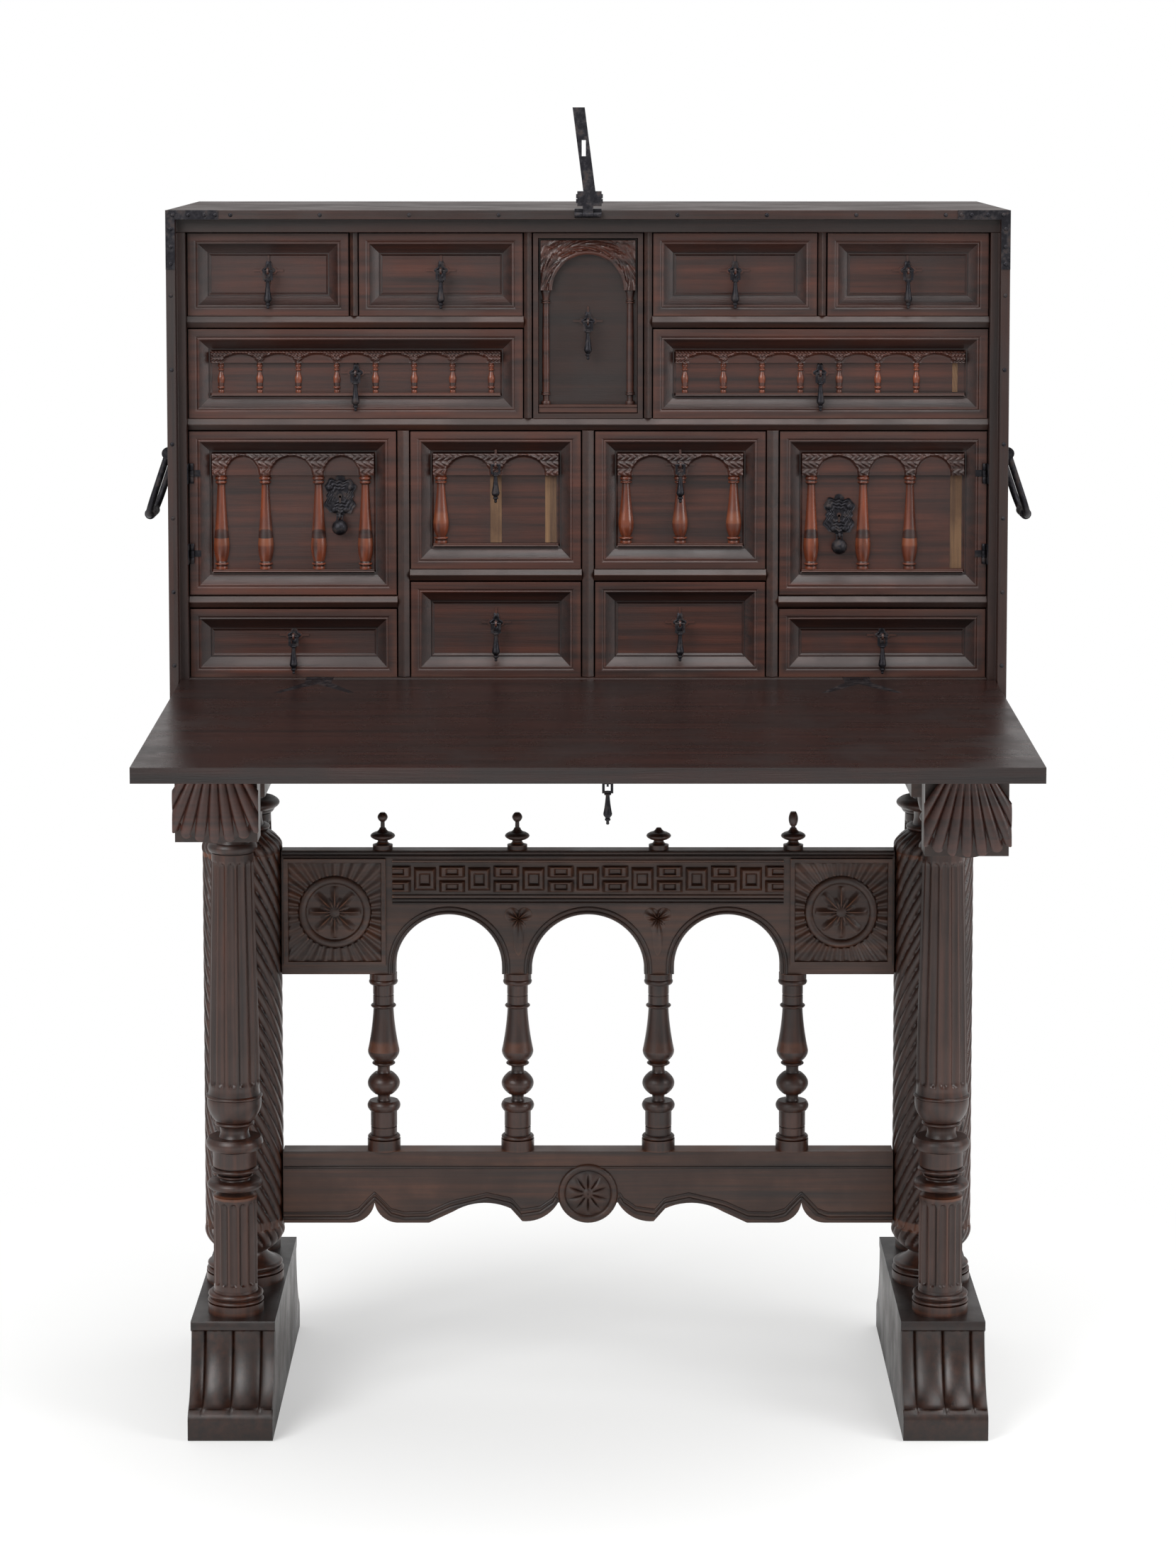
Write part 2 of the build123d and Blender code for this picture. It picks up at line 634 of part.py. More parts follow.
def lock_and_plate(x, z):
    """Lobed lock plate on the field with the eye of its ball drop, and the lock case behind the door."""
    with BuildSketch(front_plane(FIELD_DEPTH - GLUE)) as plate:
        with Locations((x, z)):
            Rectangle(LOCK_PLATE_WIDTH - 14, LOCK_PLATE_HEIGHT - 16)
            with GridLocations(LOCK_PLATE_WIDTH - 16, LOCK_PLATE_HEIGHT - 30, 2, 2):
                Circle(8)
        with Locations((x, z + LOCK_PLATE_HEIGHT / 2 - 6), (x, z - LOCK_PLATE_HEIGHT / 2 + 6)):
            Circle(6)
    extrude(plate.sketch, amount=PLATE_THICK)
    keyhole(x, z, FIELD_DEPTH - PLATE_THICK - 1, PLATE_THICK + 1)
    pivot_z = z - LOCK_PLATE_HEIGHT / 2 + 1
    with BuildSketch(side_plane(x)) as ring:
        with Locations((across(BALL_DEPTH), pivot_z)):
            Circle(EYE_RING)
            Circle(EYE_BORE, mode=Mode.SUBTRACT)
    extrude(ring.sketch, amount=EYE_WIDTH / 2, both=True)
    board(
        (x - EYE_WIDTH / 2, x + EYE_WIDTH / 2),
        (BALL_DEPTH + EYE_RING - 1, FIELD_DEPTH - PLATE_THICK / 2),
        (pivot_z, pivot_z + EYE_RING),
    )
    board(
        (x - LOCK_CASE[0] / 2, x + LOCK_CASE[0] / 2),
        (FRONT_BACK + GLUE, FRONT_BACK + LOCK_CASE[1]),
        (z - LOCK_CASE[2] / 2, z + LOCK_CASE[2] / 2),
    )
    return pivot_z


for side, name, places, lock_x, lock_down in (
    (-1, "left", (0.052, 0.326, 0.655, 0.945), LOCK_X[0], LOCK_DOWN[0]),
    (1, "right", (0.058, 0.38, 0.67), LOCK_X[1], LOCK_DOWN[1]),
):
    x_span = tuple(sorted((side * DOOR_SPAN[0], side * DOOR_SPAN[1])))
    axis_x = side * (INNER - HINGE_OFFSET)
    lock_z = DOOR_ROW[1] - lock_down
    with BuildPart() as door:
        moulded_front(x_span, DOOR_Z, RIM, FRAME)
        tall_arcade(places)(x_span, DOOR_Z)
        keyhole(side * lock_x, lock_z, FIELD_DEPTH - 1, FRONT_THICK)
    write(door, f"door_{name}")

    with BuildPart() as door_lock:
        ball_z = lock_and_plate(side * lock_x, lock_z)
        for z in HINGE_ZS:
            rod((axis_x, across(HINGE_DEPTH), z), HINGE_RADIUS, HINGE_KNUCKLE, "z")
            leaf = sorted((axis_x, axis_x - side * HINGE_LEAF))
            board(
                leaf,
                (FRONT_DEPTH - LEAF_SHEET - GLUE, FRONT_DEPTH - GLUE),
                (z - HINGE_KNUCKLE / 2, z + HINGE_KNUCKLE / 2),
            )
            rod(
                (axis_x, across(HINGE_DEPTH), z),
                HINGE_BORE,
                HINGE_KNUCKLE,
                "z",
                mode=Mode.SUBTRACT,
            )
    write(door_lock, f"door_lock_{name}")

    with BuildPart() as ball_drop:
        y = across(BALL_DEPTH)
        rod((side * lock_x, y, ball_z), BAR_RADIUS, 2 * EYE_RING, "x")
        for lug in (-1, 1):
            board(
                sorted((side * lock_x + lug * EYE_RING, side * lock_x + lug * EYE_WIDTH)),
                (BALL_DEPTH - BAR_RADIUS, BALL_DEPTH + BAR_RADIUS),
                (ball_z - BALL_HANG + BALL_RADIUS / 2, ball_z),
            )
        with Locations((side * lock_x, y, ball_z - BALL_HANG)):
            Sphere(BALL_RADIUS)
        rod((side * lock_x, y, ball_z), EYE_RING + 0.6, 2 * EYE_WIDTH, "x", mode=Mode.SUBTRACT)
        rod((side * lock_x, y, ball_z), BAR_RADIUS, 2 * EYE_RING, "x")
    write(ball_drop, f"ball_drop_{name}")
    PIVOTS[f"ball_{name}"] = (side * lock_x, across(BALL_DEPTH), ball_z)
    PIVOTS[f"door_{name}"] = (axis_x, across(HINGE_DEPTH), HINGE_ZS[0])

# ---------------------------------------------------------------- fall front

PIN = (0, across(PIN_DEPTH), PIN_Z)
FALL_PLANE = Plane(origin=PIN, x_dir=(1, 0, 0), z_dir=(0, -math.sin(TILT), math.cos(TILT)))
FALL_TOP = PIN_INSET
FALL_UNDER = PIN_INSET - FALL_THICK
KNUCKLE = 3.3
PIN_RADIUS = 1.5
PIN_BORE = 1.8
NOTCH = 4.3
LEAF_NECK = 24
LEAF_FORK = 34
LEAF_LENGTH = 96
LEAF_TAIL = 100
TAIL_WIDTH = 8


def in_fall(x_span, y_span, z_span, mode=Mode.ADD):
    """A block in the fall's own frame, whose origin is the hinge pin."""
    middle = [(span[0] + span[1]) / 2 for span in (x_span, y_span, z_span)]
    with Locations(tuple(middle)):
        Box(x_span[1] - x_span[0], y_span[1] - y_span[0], z_span[1] - z_span[0], mode=mode)


def hinge_leaf_outline(x, grow):
    """Outline of a leaf let into the fall: a straight neck that parts into two spread tails."""
    half, tail = HINGE_WIDTH / 2 + grow, LEAF_TAIL / 2 + grow
    inner, foot = tail - TAIL_WIDTH - 2 * grow, -LEAF_LENGTH - grow
    Polyline(
        (x - half, 0),
        (x - half, -LEAF_NECK),
        (x - tail, foot),
        (x - inner, foot),
        (x, -LEAF_FORK - 2 * grow),
        (x + inner, foot),
        (x + tail, foot),
        (x + half, -LEAF_NECK),
        (x + half, 0),
        close=True,
    )


CLAMP_X = FALL_HALF - CLAMP_WIDTH
MITRE_Y = -FALL_LENGTH + CLAMP_MITRE
with BuildPart(FALL_PLANE) as fall_board:
    with BuildSketch(FALL_PLANE.offset(FALL_UNDER)) as boards:
        with BuildLine():
            Polyline(
                (-CLAMP_X, PIN_INSET),
                (-CLAMP_X, MITRE_Y),
                (-FALL_HALF, -FALL_LENGTH),
                (FALL_HALF, -FALL_LENGTH),
                (CLAMP_X, MITRE_Y),
                (CLAMP_X, PIN_INSET),
                close=True,
            )
        make_face()
        for side in (-1, 1):
            inner, outer = side * (CLAMP_X + GLUE), side * FALL_HALF
            with BuildLine():
                Polyline(
                    (inner, PIN_INSET),
                    (outer, PIN_INSET),
                    (outer, -FALL_LENGTH + GLUE),
                    (inner, MITRE_Y + GLUE),
                    close=True,
                )
            make_face()
    extrude(boards.sketch, amount=FALL_THICK)
    for side in (-1, 1):
        x = side * HINGE_X
        with BuildSketch(FALL_PLANE.offset(FALL_TOP - LEAF_THICK)) as recess:
            with BuildLine():
                hinge_leaf_outline(x, GLUE)
            make_face()
        extrude(recess.sketch, amount=LEAF_THICK, mode=Mode.SUBTRACT)
        in_fall(
            (x - HINGE_WIDTH / 2 - GLUE, x + HINGE_WIDTH / 2 + GLUE),
            (-NOTCH, NOTCH),
            (-NOTCH, NOTCH),
            mode=Mode.SUBTRACT,
        )
    # the rear edge is rounded about the pin, so that it clears the floor of the case as it turns
    end_plane = Plane(
        origin=(-HALF, PIN[1], PIN[2]), x_dir=(0, math.cos(TILT), math.sin(TILT)), z_dir=(1, 0, 0)
    )
    with BuildSketch(end_plane) as corner:
        Rectangle(2 * PIN_INSET, 2 * PIN_INSET, align=(Align.MIN, Align.MIN))
        Circle(PIN_INSET - GLUE, mode=Mode.SUBTRACT)
    extrude(corner.sketch, amount=CASE_WIDTH, mode=Mode.SUBTRACT)
write(fall_board, "fall_board")

FALL_KNUCKLE = 15
with BuildPart(FALL_PLANE) as fall_iron_hinges:
    for side in (-1, 1):
        x = side * HINGE_X
        with BuildSketch(FALL_PLANE.offset(FALL_TOP - LEAF_THICK + GLUE)) as leaf:
            with BuildLine():
                hinge_leaf_outline(x, 0)
            make_face()
        extrude(leaf.sketch, amount=LEAF_THICK - GLUE)
        for end in (-1, 1):
            in_fall(
                sorted((x + end * FALL_KNUCKLE / 2, x + end * HINGE_WIDTH)),
                (-NOTCH, NOTCH),
                (0, NOTCH),
                mode=Mode.SUBTRACT,
            )
        with Locations((x, 0, 0)):
            Cylinder(KNUCKLE, FALL_KNUCKLE, rotation=(0, 90, 0))
            Cylinder(PIN_BORE, FALL_KNUCKLE, rotation=(0, 90, 0), mode=Mode.SUBTRACT)
write(fall_iron_hinges, "fall_iron_hinges")

# The lock plate lies on the outer face, which is the underside of the open fall.
PLATE_X = (-45, 45)
PLATE_FROM_EDGE = (32, 152)
STAPLE_X = -5.2
STAPLE_THICK = 3
STAPLE_LENGTH = 12
STAPLE_REACH = 8
HASP_DEPTH = -4  # of its pin
HASP_Z = CASE_TOP - LIP / 2
STAPLE_FROM_PIN = 82
STAPLE_Y = -(HASP_Z - STAPLE_FROM_PIN - PIN_Z)
PENDANT_X = 22
PENDANT_FROM_EDGE = 45
PENDANT_STANDOFF = 8
with BuildPart(FALL_PLANE) as fall_lock_plate:
    under = FALL_UNDER - GLUE
    in_fall(
        PLATE_X,
        (-FALL_LENGTH + PLATE_FROM_EDGE[0], -FALL_LENGTH + PLATE_FROM_EDGE[1]),
        (under - PLATE_THICK, under),
    )
    in_fall(
        (STAPLE_X - STAPLE_THICK / 2, STAPLE_X + STAPLE_THICK / 2),
        (STAPLE_Y - STAPLE_LENGTH / 2, STAPLE_Y + STAPLE_LENGTH / 2),
        (under - PLATE_THICK - STAPLE_REACH, under - PLATE_THICK),
    )
    pendant_y = -FALL_LENGTH + PENDANT_FROM_EDGE
    with Locations((PENDANT_X, pendant_y, under - PENDANT_STANDOFF)):
        Cylinder(EYE_RING, EYE_WIDTH, rotation=(0, 90, 0))
        Cylinder(EYE_BORE, EYE_WIDTH, rotation=(0, 90, 0), mode=Mode.SUBTRACT)
    in_fall(
        (PENDANT_X - EYE_WIDTH / 2, PENDANT_X + EYE_WIDTH / 2),
        (pendant_y - EYE_WIDTH / 2, pendant_y + EYE_WIDTH / 2),
        (under - PENDANT_STANDOFF + EYE_RING - 1, under - PLATE_THICK / 2),
    )
write(fall_lock_plate, "fall_lock_plate")

pendant = FALL_PLANE.from_local_coords((PENDANT_X, pendant_y, under - PENDANT_STANDOFF))
with BuildPart() as fall_pendant:
    drop_pull(pendant.X, pendant.Y - CASE_FRONT, pendant.Z)
write(fall_pendant, "fall_pendant")
PIVOTS["fall"] = PIN
PIVOTS["pendant"] = tuple(pendant)

# ---------------------------------------------------------------- hasp

LEAN = math.radians(HASP_LEAN)
HASP_PIN = (0, across(HASP_DEPTH), HASP_Z)
HASP_FACE = Plane(origin=HASP_PIN, x_dir=(1, 0, 0), z_dir=(0, -math.cos(LEAN), math.sin(LEAN)))
HASP_FOOT_X = 1.8
HASP_BASE_WIDTH = 33
HASP_BASE_THICK = 5.6
HASP_BARREL = 3.6
HASP_KNUCKLE = 13
SLOT_WIDTH = 5
SLOT_LENGTH = 20
HASP_PLATE_REACH = 40  # of its hinge plate, back over the top of the case
with BuildPart() as hasp:
    with BuildSketch(HASP_FACE) as strap:
        with BuildLine():
            Polyline(
                (HASP_FOOT_X - HASP_WIDTH / 2, HASP_BASE - 1),
                (HASP_FOOT_X + HASP_WIDTH / 2, HASP_BASE - 1),
                (HASP_FOOT_X + HASP_WIDTH / 2 - HASP_BEND, HASP_LENGTH),
                (HASP_FOOT_X - HASP_WIDTH / 2 - HASP_BEND, HASP_LENGTH),
                close=True,
            )
        make_face()
        with Locations((STAPLE_X, STAPLE_FROM_PIN)):
            Rectangle(SLOT_WIDTH, SLOT_LENGTH, mode=Mode.SUBTRACT)
    extrude(strap.sketch, amount=HASP_THICK / 2, both=True)
    with BuildSketch(HASP_FACE) as base:
        with Locations((HASP_FOOT_X, HASP_BASE - 6), (HASP_FOOT_X, HASP_BASE - 12)):
            Rectangle(HASP_BASE_WIDTH, 5)
        with Locations((HASP_FOOT_X, HASP_BASE - 9)):
            Rectangle(HASP_BASE_WIDTH - 3, 18)
        with Locations((0, HASP_BASE / 3)):
            Rectangle(HASP_KNUCKLE, 2 * HASP_BASE / 3)
    extrude(base.sketch, amount=HASP_BASE_THICK / 2, both=True)
    rod(HASP_PIN, HASP_BARREL, HASP_KNUCKLE, "x")
    rod(HASP_PIN, PIN_BORE, HASP_BASE_WIDTH, "x", mode=Mode.SUBTRACT)
write(hasp, "hasp")
PIVOTS["hasp"] = HASP_PIN

# ---------------------------------------------------------------- side handles

BAIL_ANGLE = math.radians(BAIL_LEAN)
BAIL_EYE_WIDTH = 10
BAIL_EYE = 7.5
BAIL_PIN = 2.8
BAIL_BORE = 3.2
BAIL_CORNER = 26
GRIP_RADIUS = 7
GRIP_LENGTH = 52
for side, name in ((-1, "left"), (1, "right")):
    axis_point = (side * (HALF + BAIL_STANDOFF), across(BAIL_DEPTH), BAIL_Z)
    face = Plane(
        origin=axis_point,
        x_dir=(0, 1, 0),
        z_dir=(math.cos(BAIL_ANGLE), 0, side * math.sin(BAIL_ANGLE)),
    )
    with BuildPart() as bail:
        half = BAIL_SPREAD / 2
        with BuildLine(face) as route:
            FilletPolyline(
                (-half, -BAIL_EYE + 1),
                (-half, -BAIL_DROP),
                (half, -BAIL_DROP),
                (half, -BAIL_EYE + 1),
                radius=BAIL_CORNER,
            )
        with BuildSketch(Plane(route.line @ 0, z_dir=route.line % 0)) as section:
            Circle(BAIL_RADIUS)
        sweep(section.sketch, path=route.line)
        grip = face.from_local_coords((0, -BAIL_DROP, 0))
        rod(tuple(grip), GRIP_RADIUS, GRIP_LENGTH, "y")
        for end in (-1, 1):
            eye = (axis_point[0], axis_point[1] + end * half, axis_point[2])
            rod(eye, BAIL_EYE, BAIL_EYE_WIDTH, "y")
            rod(eye, BAIL_BORE, BAIL_EYE_WIDTH, "y", mode=Mode.SUBTRACT)
    write(bail, f"bail_{name}")
    PIVOTS[f"bail_{name}"] = axis_point

# ---------------------------------------------------------------- fixed iron of the case

EYE_PLATE = 34
EYE_PLATE_THICK = 1.5
LUG_THICK = 3
with BuildPart() as case_iron_fittings:
    for side in (-1, 1):
        strap_front = (-STRAP_THICK, -GLUE)
        board(
            sorted((side * HALF, side * (HALF - STRAP_LONG))),
            strap_front,
            (CASE_TOP - LIP, CASE_TOP),
        )
        board(
            sorted((side * HALF, side * (HALF - LIP))),
            strap_front,
            (CASE_TOP - STRAP_DOWN, CASE_TOP - LIP),
        )
        # eye plates, lugs and pins of the side handles
        face_x = side * (HALF + GLUE)
        for end in (-1, 1):
            middle = BAIL_DEPTH + end * BAIL_SPREAD / 2
            sheet = sorted((face_x, face_x + side * EYE_PLATE_THICK))
            board(
                sheet,
                (middle - EYE_PLATE / 2, middle + EYE_PLATE / 2),
                (BAIL_Z - EYE_PLATE / 2, BAIL_Z + EYE_PLATE / 2),
            )
            for lug in (-1, 1):
                inner = middle + lug * (BAIL_EYE_WIDTH / 2 + SLACK)
                board(
                    sorted((face_x, side * (HALF + BAIL_STANDOFF + BAIL_PIN + 1))),
                    sorted((inner, inner + lug * LUG_THICK)),
                    (BAIL_Z - BAIL_PIN - 1, BAIL_Z + BAIL_PIN + 1),
                )
            pin_length = BAIL_EYE_WIDTH + 2 * (SLACK + LUG_THICK)
            rod((side * (HALF + BAIL_STANDOFF), across(middle), BAIL_Z), BAIL_PIN, pin_length, "y")
        # door hinges: a leaf on the side of the case, two knuckles and their pin
        axis_x = side * (INNER - HINGE_OFFSET)
        for z in HINGE_ZS:
            length = HINGE_KNUCKLE + 2 * SLACK
            board(
                sorted((side * (INNER - GLUE), side * (INNER - GLUE - LEAF_SHEET))),
                (HINGE_DEPTH - HINGE_LEAF, HINGE_DEPTH),
                (z - length / 2 - HINGE_KNUCKLE, z + length / 2 + HINGE_KNUCKLE),
            )
            for end in (-1, 1):
                knuckle_z = z + end * (length + HINGE_KNUCKLE) / 2
                rod((axis_x, across(HINGE_DEPTH), knuckle_z), HINGE_RADIUS, HINGE_KNUCKLE, "z")
                board(
                    sorted((side * (INNER - GLUE), axis_x)),
                    (HINGE_DEPTH - LEAF_SHEET, HINGE_DEPTH),
                    (knuckle_z - HINGE_KNUCKLE / 2, knuckle_z + HINGE_KNUCKLE / 2),
                )
            rod((axis_x, across(HINGE_DEPTH), z), HINGE_PIN, length + HINGE_KNUCKLE, "z")
        # leaves, knuckles and pins of the fall's hinges
        x = side * HINGE_X
        board(
            (x - HINGE_WIDTH / 2, x + HINGE_WIDTH / 2),
            (REBATE + 2 * SLACK, REBATE + LEAF_REACH),
            (FLOOR_Z - LEAF_THICK - SLACK + GLUE, FLOOR_Z - 0.2),
        )
        for end in (-1, 1):
            near = x + end * (FALL_KNUCKLE / 2 + SLACK)
            far = x + end * HINGE_WIDTH / 2
            rod(((near + far) / 2, PIN[1], PIN[2]), KNUCKLE, abs(far - near), "x")
            board(
                sorted((near, far)),
                (PIN_DEPTH, REBATE + 4 * SLACK),
                (FLOOR_Z - LEAF_THICK - SLACK + GLUE, PIN_Z + KNUCKLE),
            )
        rod((x, PIN[1], PIN[2]), PIN_RADIUS, HINGE_WIDTH, "x")
    # hinge plate of the hasp, bent over the top edge
    plate_half = HASP_BASE_WIDTH / 2
    plate_top = CASE_TOP + PLATE_THICK
    board((-plate_half, plate_half), (0, HASP_PLATE_REACH), (CASE_TOP + GLUE, plate_top))
    for end in (-1, 1):
        near = end * (HASP_KNUCKLE / 2 + SLACK)
        far = end * plate_half
        board(sorted((near, far)), (-STRAP_THICK, -GLUE), (HASP_Z - HASP_BARREL, plate_top))
        board(sorted((near, far)), (-STRAP_THICK, 1), (CASE_TOP + GLUE, plate_top))
        rod(((near + far) / 2, HASP_PIN[1], HASP_Z), HASP_BARREL, abs(far - near), "x")
    rod(HASP_PIN, PIN_RADIUS, HASP_BASE_WIDTH, "x")
write(case_iron_fittings, "case_iron_fittings")

# ---------------------------------------------------------------- trestles

CHANNEL_HALF = LOPER_WIDTH / 2 + SLACK
CHANNEL_FLOOR = CASE_BOTTOM - LOPER_HEIGHT - 2 * SLACK
HEAD_FRONT = MID_DEPTH - HEAD_LENGTH / 2
LOPER_TOP = CASE_BOTTOM - SLACK
BAR_LENGTH = HEAD_LENGTH - 2 * SLACK
FAN_THICK = 13
FAN_DROP = 150
FAN_GAP = 2  # from the top of the block down to its shell
FAN_TOP_HALF = 12
FAN_FOOT_HALF = 47
for side, name, out in ((-1, "left", LOPER_OUT_LEFT), (1, "right", LOPER_OUT_RIGHT)):
    x = side * TRESTLE_X
    with BuildPart() as foot:
        with BuildSketch(side_plane(x)) as sledge:
            with BuildLine():
                front, rear = across(MID_DEPTH - FOOT_FLAT / 2), across(MID_DEPTH + FOOT_FLAT / 2)
                under = FOOT_HEIGHT - FOOT_LEDGE
                tuck = FOOT_TOE / 8
                Polyline((front + tuck, under), (front, under), (front, FOOT_HEIGHT))
                Line((front, FOOT_HEIGHT), (rear, FOOT_HEIGHT))
                Polyline((rear, FOOT_HEIGHT), (rear, under), (rear - tuck, under))
                ThreePointArc(
                    (rear - tuck, under),
                    (rear + FOOT_TOE * 0.34, under * 0.62),
                    (rear + FOOT_TOE * 0.82, FOOT_BASE),
                )
                Polyline(
                    (rear + FOOT_TOE * 0.82, FOOT_BASE),
                    (rear + FOOT_TOE, FOOT_BASE * 0.8),
                    (rear + FOOT_TOE, 0),
                    (front - FOOT_TOE, 0),
                    (front - FOOT_TOE, FOOT_BASE * 0.8),
                    (front - FOOT_TOE * 0.82, FOOT_BASE),
                )
                ThreePointArc(
                    (front - FOOT_TOE * 0.82, FOOT_BASE),
                    (front - FOOT_TOE * 0.34, under * 0.62),
                    (front + tuck, under),
                )
            make_face()
        extrude(sledge.sketch, amount=FOOT_WIDTH / 2, both=True)
    write(foot, f"foot_{name}")

    with BuildPart() as head:
        board(
            (x - HEAD_WIDTH / 2, x + HEAD_WIDTH / 2),
            (HEAD_FRONT, HEAD_FRONT + HEAD_LENGTH),
            (HEAD_BOTTOM, CHANNEL_FLOOR - GLUE),
        )
        for cheek in (-1, 1):
            board(
                sorted((x + cheek * CHANNEL_HALF, x + cheek * HEAD_WIDTH / 2)),
                (HEAD_FRONT, HEAD_FRONT + HEAD_LENGTH),
                (CHANNEL_FLOOR, CASE_BOTTOM),
            )
    write(head, f"trestle_head_{name}")

    with BuildPart() as loper:
        block_back = BLOCK_DEPTH - out
        board(
            (x - BLOCK_WIDTH / 2, x + BLOCK_WIDTH / 2),
            (-out, block_back),
            (LOPER_TOP - BLOCK_HEIGHT, LOPER_TOP),
        )
        board(
            (x - LOPER_WIDTH / 2, x + LOPER_WIDTH / 2),
            (block_back + GLUE, block_back + BAR_LENGTH),
            (LOPER_TOP - LOPER_HEIGHT, LOPER_TOP),
        )
        with BuildSketch(front_plane(-out - GLUE)) as fan:
            with BuildLine():
                fan_top, fan_foot = LOPER_TOP - FAN_GAP, LOPER_TOP - FAN_DROP
                shoulder = fan_foot + FAN_DROP * 0.3
                Line((x - FAN_FOOT_HALF, shoulder), (x - FAN_TOP_HALF, fan_top))
                Line((x - FAN_TOP_HALF, fan_top), (x + FAN_TOP_HALF, fan_top))
                Line((x + FAN_TOP_HALF, fan_top), (x + FAN_FOOT_HALF, shoulder))
                ThreePointArc(
                    (x + FAN_FOOT_HALF, shoulder), (x, fan_foot), (x - FAN_FOOT_HALF, shoulder)
                )
            make_face()
        extrude(fan.sketch, amount=FAN_THICK)
    write(loper, f"loper_{name}")

# Heights of the elements of the fluted columns, from the foot to the trestle head.
FLUTED = [
    (35.4, 35.4, 13, 0),
    (34.0, 34.0, 14, 3),
    (28.6, 27.7, 3, 0),
    (27.7, 27.7, 121, 0),
    (27.7, 19.0, 10, -2),
    (33.0, 33.0, 10, 2.4),
    (19.0, 19.0, 11, -2),
    (28.0, 28.0, 6, 2),
    (27.5, 27.5, 24, 0),
    (34.0, 34.0, 15, 2.5),
    (20.0, 20.0, 15, -2),
    (23.0, 23.0, 6, 2),
    (24.0, 34.0, 30, 3),
    (34.5, 34.5, 5, 1.8),
    (33.2, 26.4, None, 0),
    (29.8, 29.8, 13, 2),
    (22.0, 22.0, 26, -2),
    (29.0, 29.0, 12, 3),
    (30.0, 34.0, 29, 0),
]
SPIRAL = [
    (50.5, 50.5, 13, 0),
    (48.0, 48.0, 13, 3),
    (44.0, 28.0, 16, -4),
    (31.0, SPIRAL_RADIUS, 30, 6),
    (SPIRAL_RADIUS, SPIRAL_RADIUS, None, 0),
    (SPIRAL_RADIUS, 33.0, 26, 6),
    (35.0, 35.0, 6, 2),
    (28.0, 28.0, 22, -2),
    (45.0, 45.0, 13, 4.5),
    (28.0, 28.0, 13, -2),
    (34.0, 34.0, 22, 0),
]
SHAFT = (FOOT_HEIGHT, HEAD_BOTTOM)
for shift, outline, name in (
    (-COLUMN_SPACING, FLUTED, "front_columns"),
    (0, SPIRAL, "spiral_columns"),
    (COLUMN_SPACING, FLUTED, "rear_columns"),
):
    with BuildPart() as pair:
        for side in (-1, 1):
            turning((side * TRESTLE_X, across(MID_DEPTH + shift)), SHAFT, outline)
    write(pair, name)

# ---------------------------------------------------------------- rails between the trestles

RAIL_HALF = TRESTLE_X - SPIRAL_RADIUS
RAIL_TOP = RAIL_BOTTOM + RAIL_HEIGHT
CROWN_Z = RAIL_TOP - RAIL_TOP_MEMBER
with BuildPart() as arcade_rail:
    with BuildSketch(front_plane(MID_DEPTH)) as rail:
        with Locations((0, (RAIL_TOP + RAIL_BOTTOM) / 2)):
            Rectangle(2 * RAIL_HALF, RAIL_HEIGHT)
        for x, radius in (
            (-SIDE_ARCH_X, SIDE_ARCH_RADIUS),
            (0, MID_ARCH_RADIUS),
            (SIDE_ARCH_X, SIDE_ARCH_RADIUS),
        ):
            with Locations((x, CROWN_Z - radius)):
                Circle(radius, mode=Mode.SUBTRACT)
            with Locations((x, (CROWN_Z - radius + RAIL_BOTTOM) / 2)):
                Rectangle(2 * radius, CROWN_Z - radius - RAIL_BOTTOM, mode=Mode.SUBTRACT)
    extrude(rail.sketch, amount=RAIL_THICK / 2, both=True)
write(arcade_rail, "arcade_rail")

LOBE_RADIUS = 39.6
LOBE_DROP = 55.5
STRETCHER_BOTTOM = STRETCHER_TOP - STRETCHER_HEIGHT
# Ends of the pieces of its scalloped lower edge, as (distance from the middle, rise above the lowest
# line), from a trestle to the middle; a curved piece names a point on its arc first.
APRON = [
    [(310, 0)],
    [(288, 9), (279, 26.5)],
    [(270, 9), (246, 0)],
    [(208, 0)],
    [(176, 15)],
    [(132, 26.5), (101, 19)],
    [(86, 2)],
    [(58, 8), (39, 27)],
    [(0, 27)],
]
with BuildPart() as lower_stretcher:
    with BuildSketch(front_plane(MID_DEPTH)) as apron:
        with BuildLine():
            place = (-RAIL_HALF, STRETCHER_BOTTOM)
            Polyline((0, STRETCHER_TOP), (-RAIL_HALF, STRETCHER_TOP), place)
            for *bend, (x, rise) in APRON:
                last, place = place, (-x, STRETCHER_BOTTOM + rise)
                if bend:
                    ThreePointArc(last, (-bend[0][0], STRETCHER_BOTTOM + bend[0][1]), place)
                else:
                    Line(last, place)
            Line(place, (0, STRETCHER_TOP))
        make_face()
        mirror(about=Plane.YZ)
        with Locations((0, STRETCHER_TOP - LOBE_DROP)):
            Circle(LOBE_RADIUS)
    extrude(apron.sketch, amount=STRETCHER_THICK / 2, both=True)
write(lower_stretcher, "lower_stretcher")

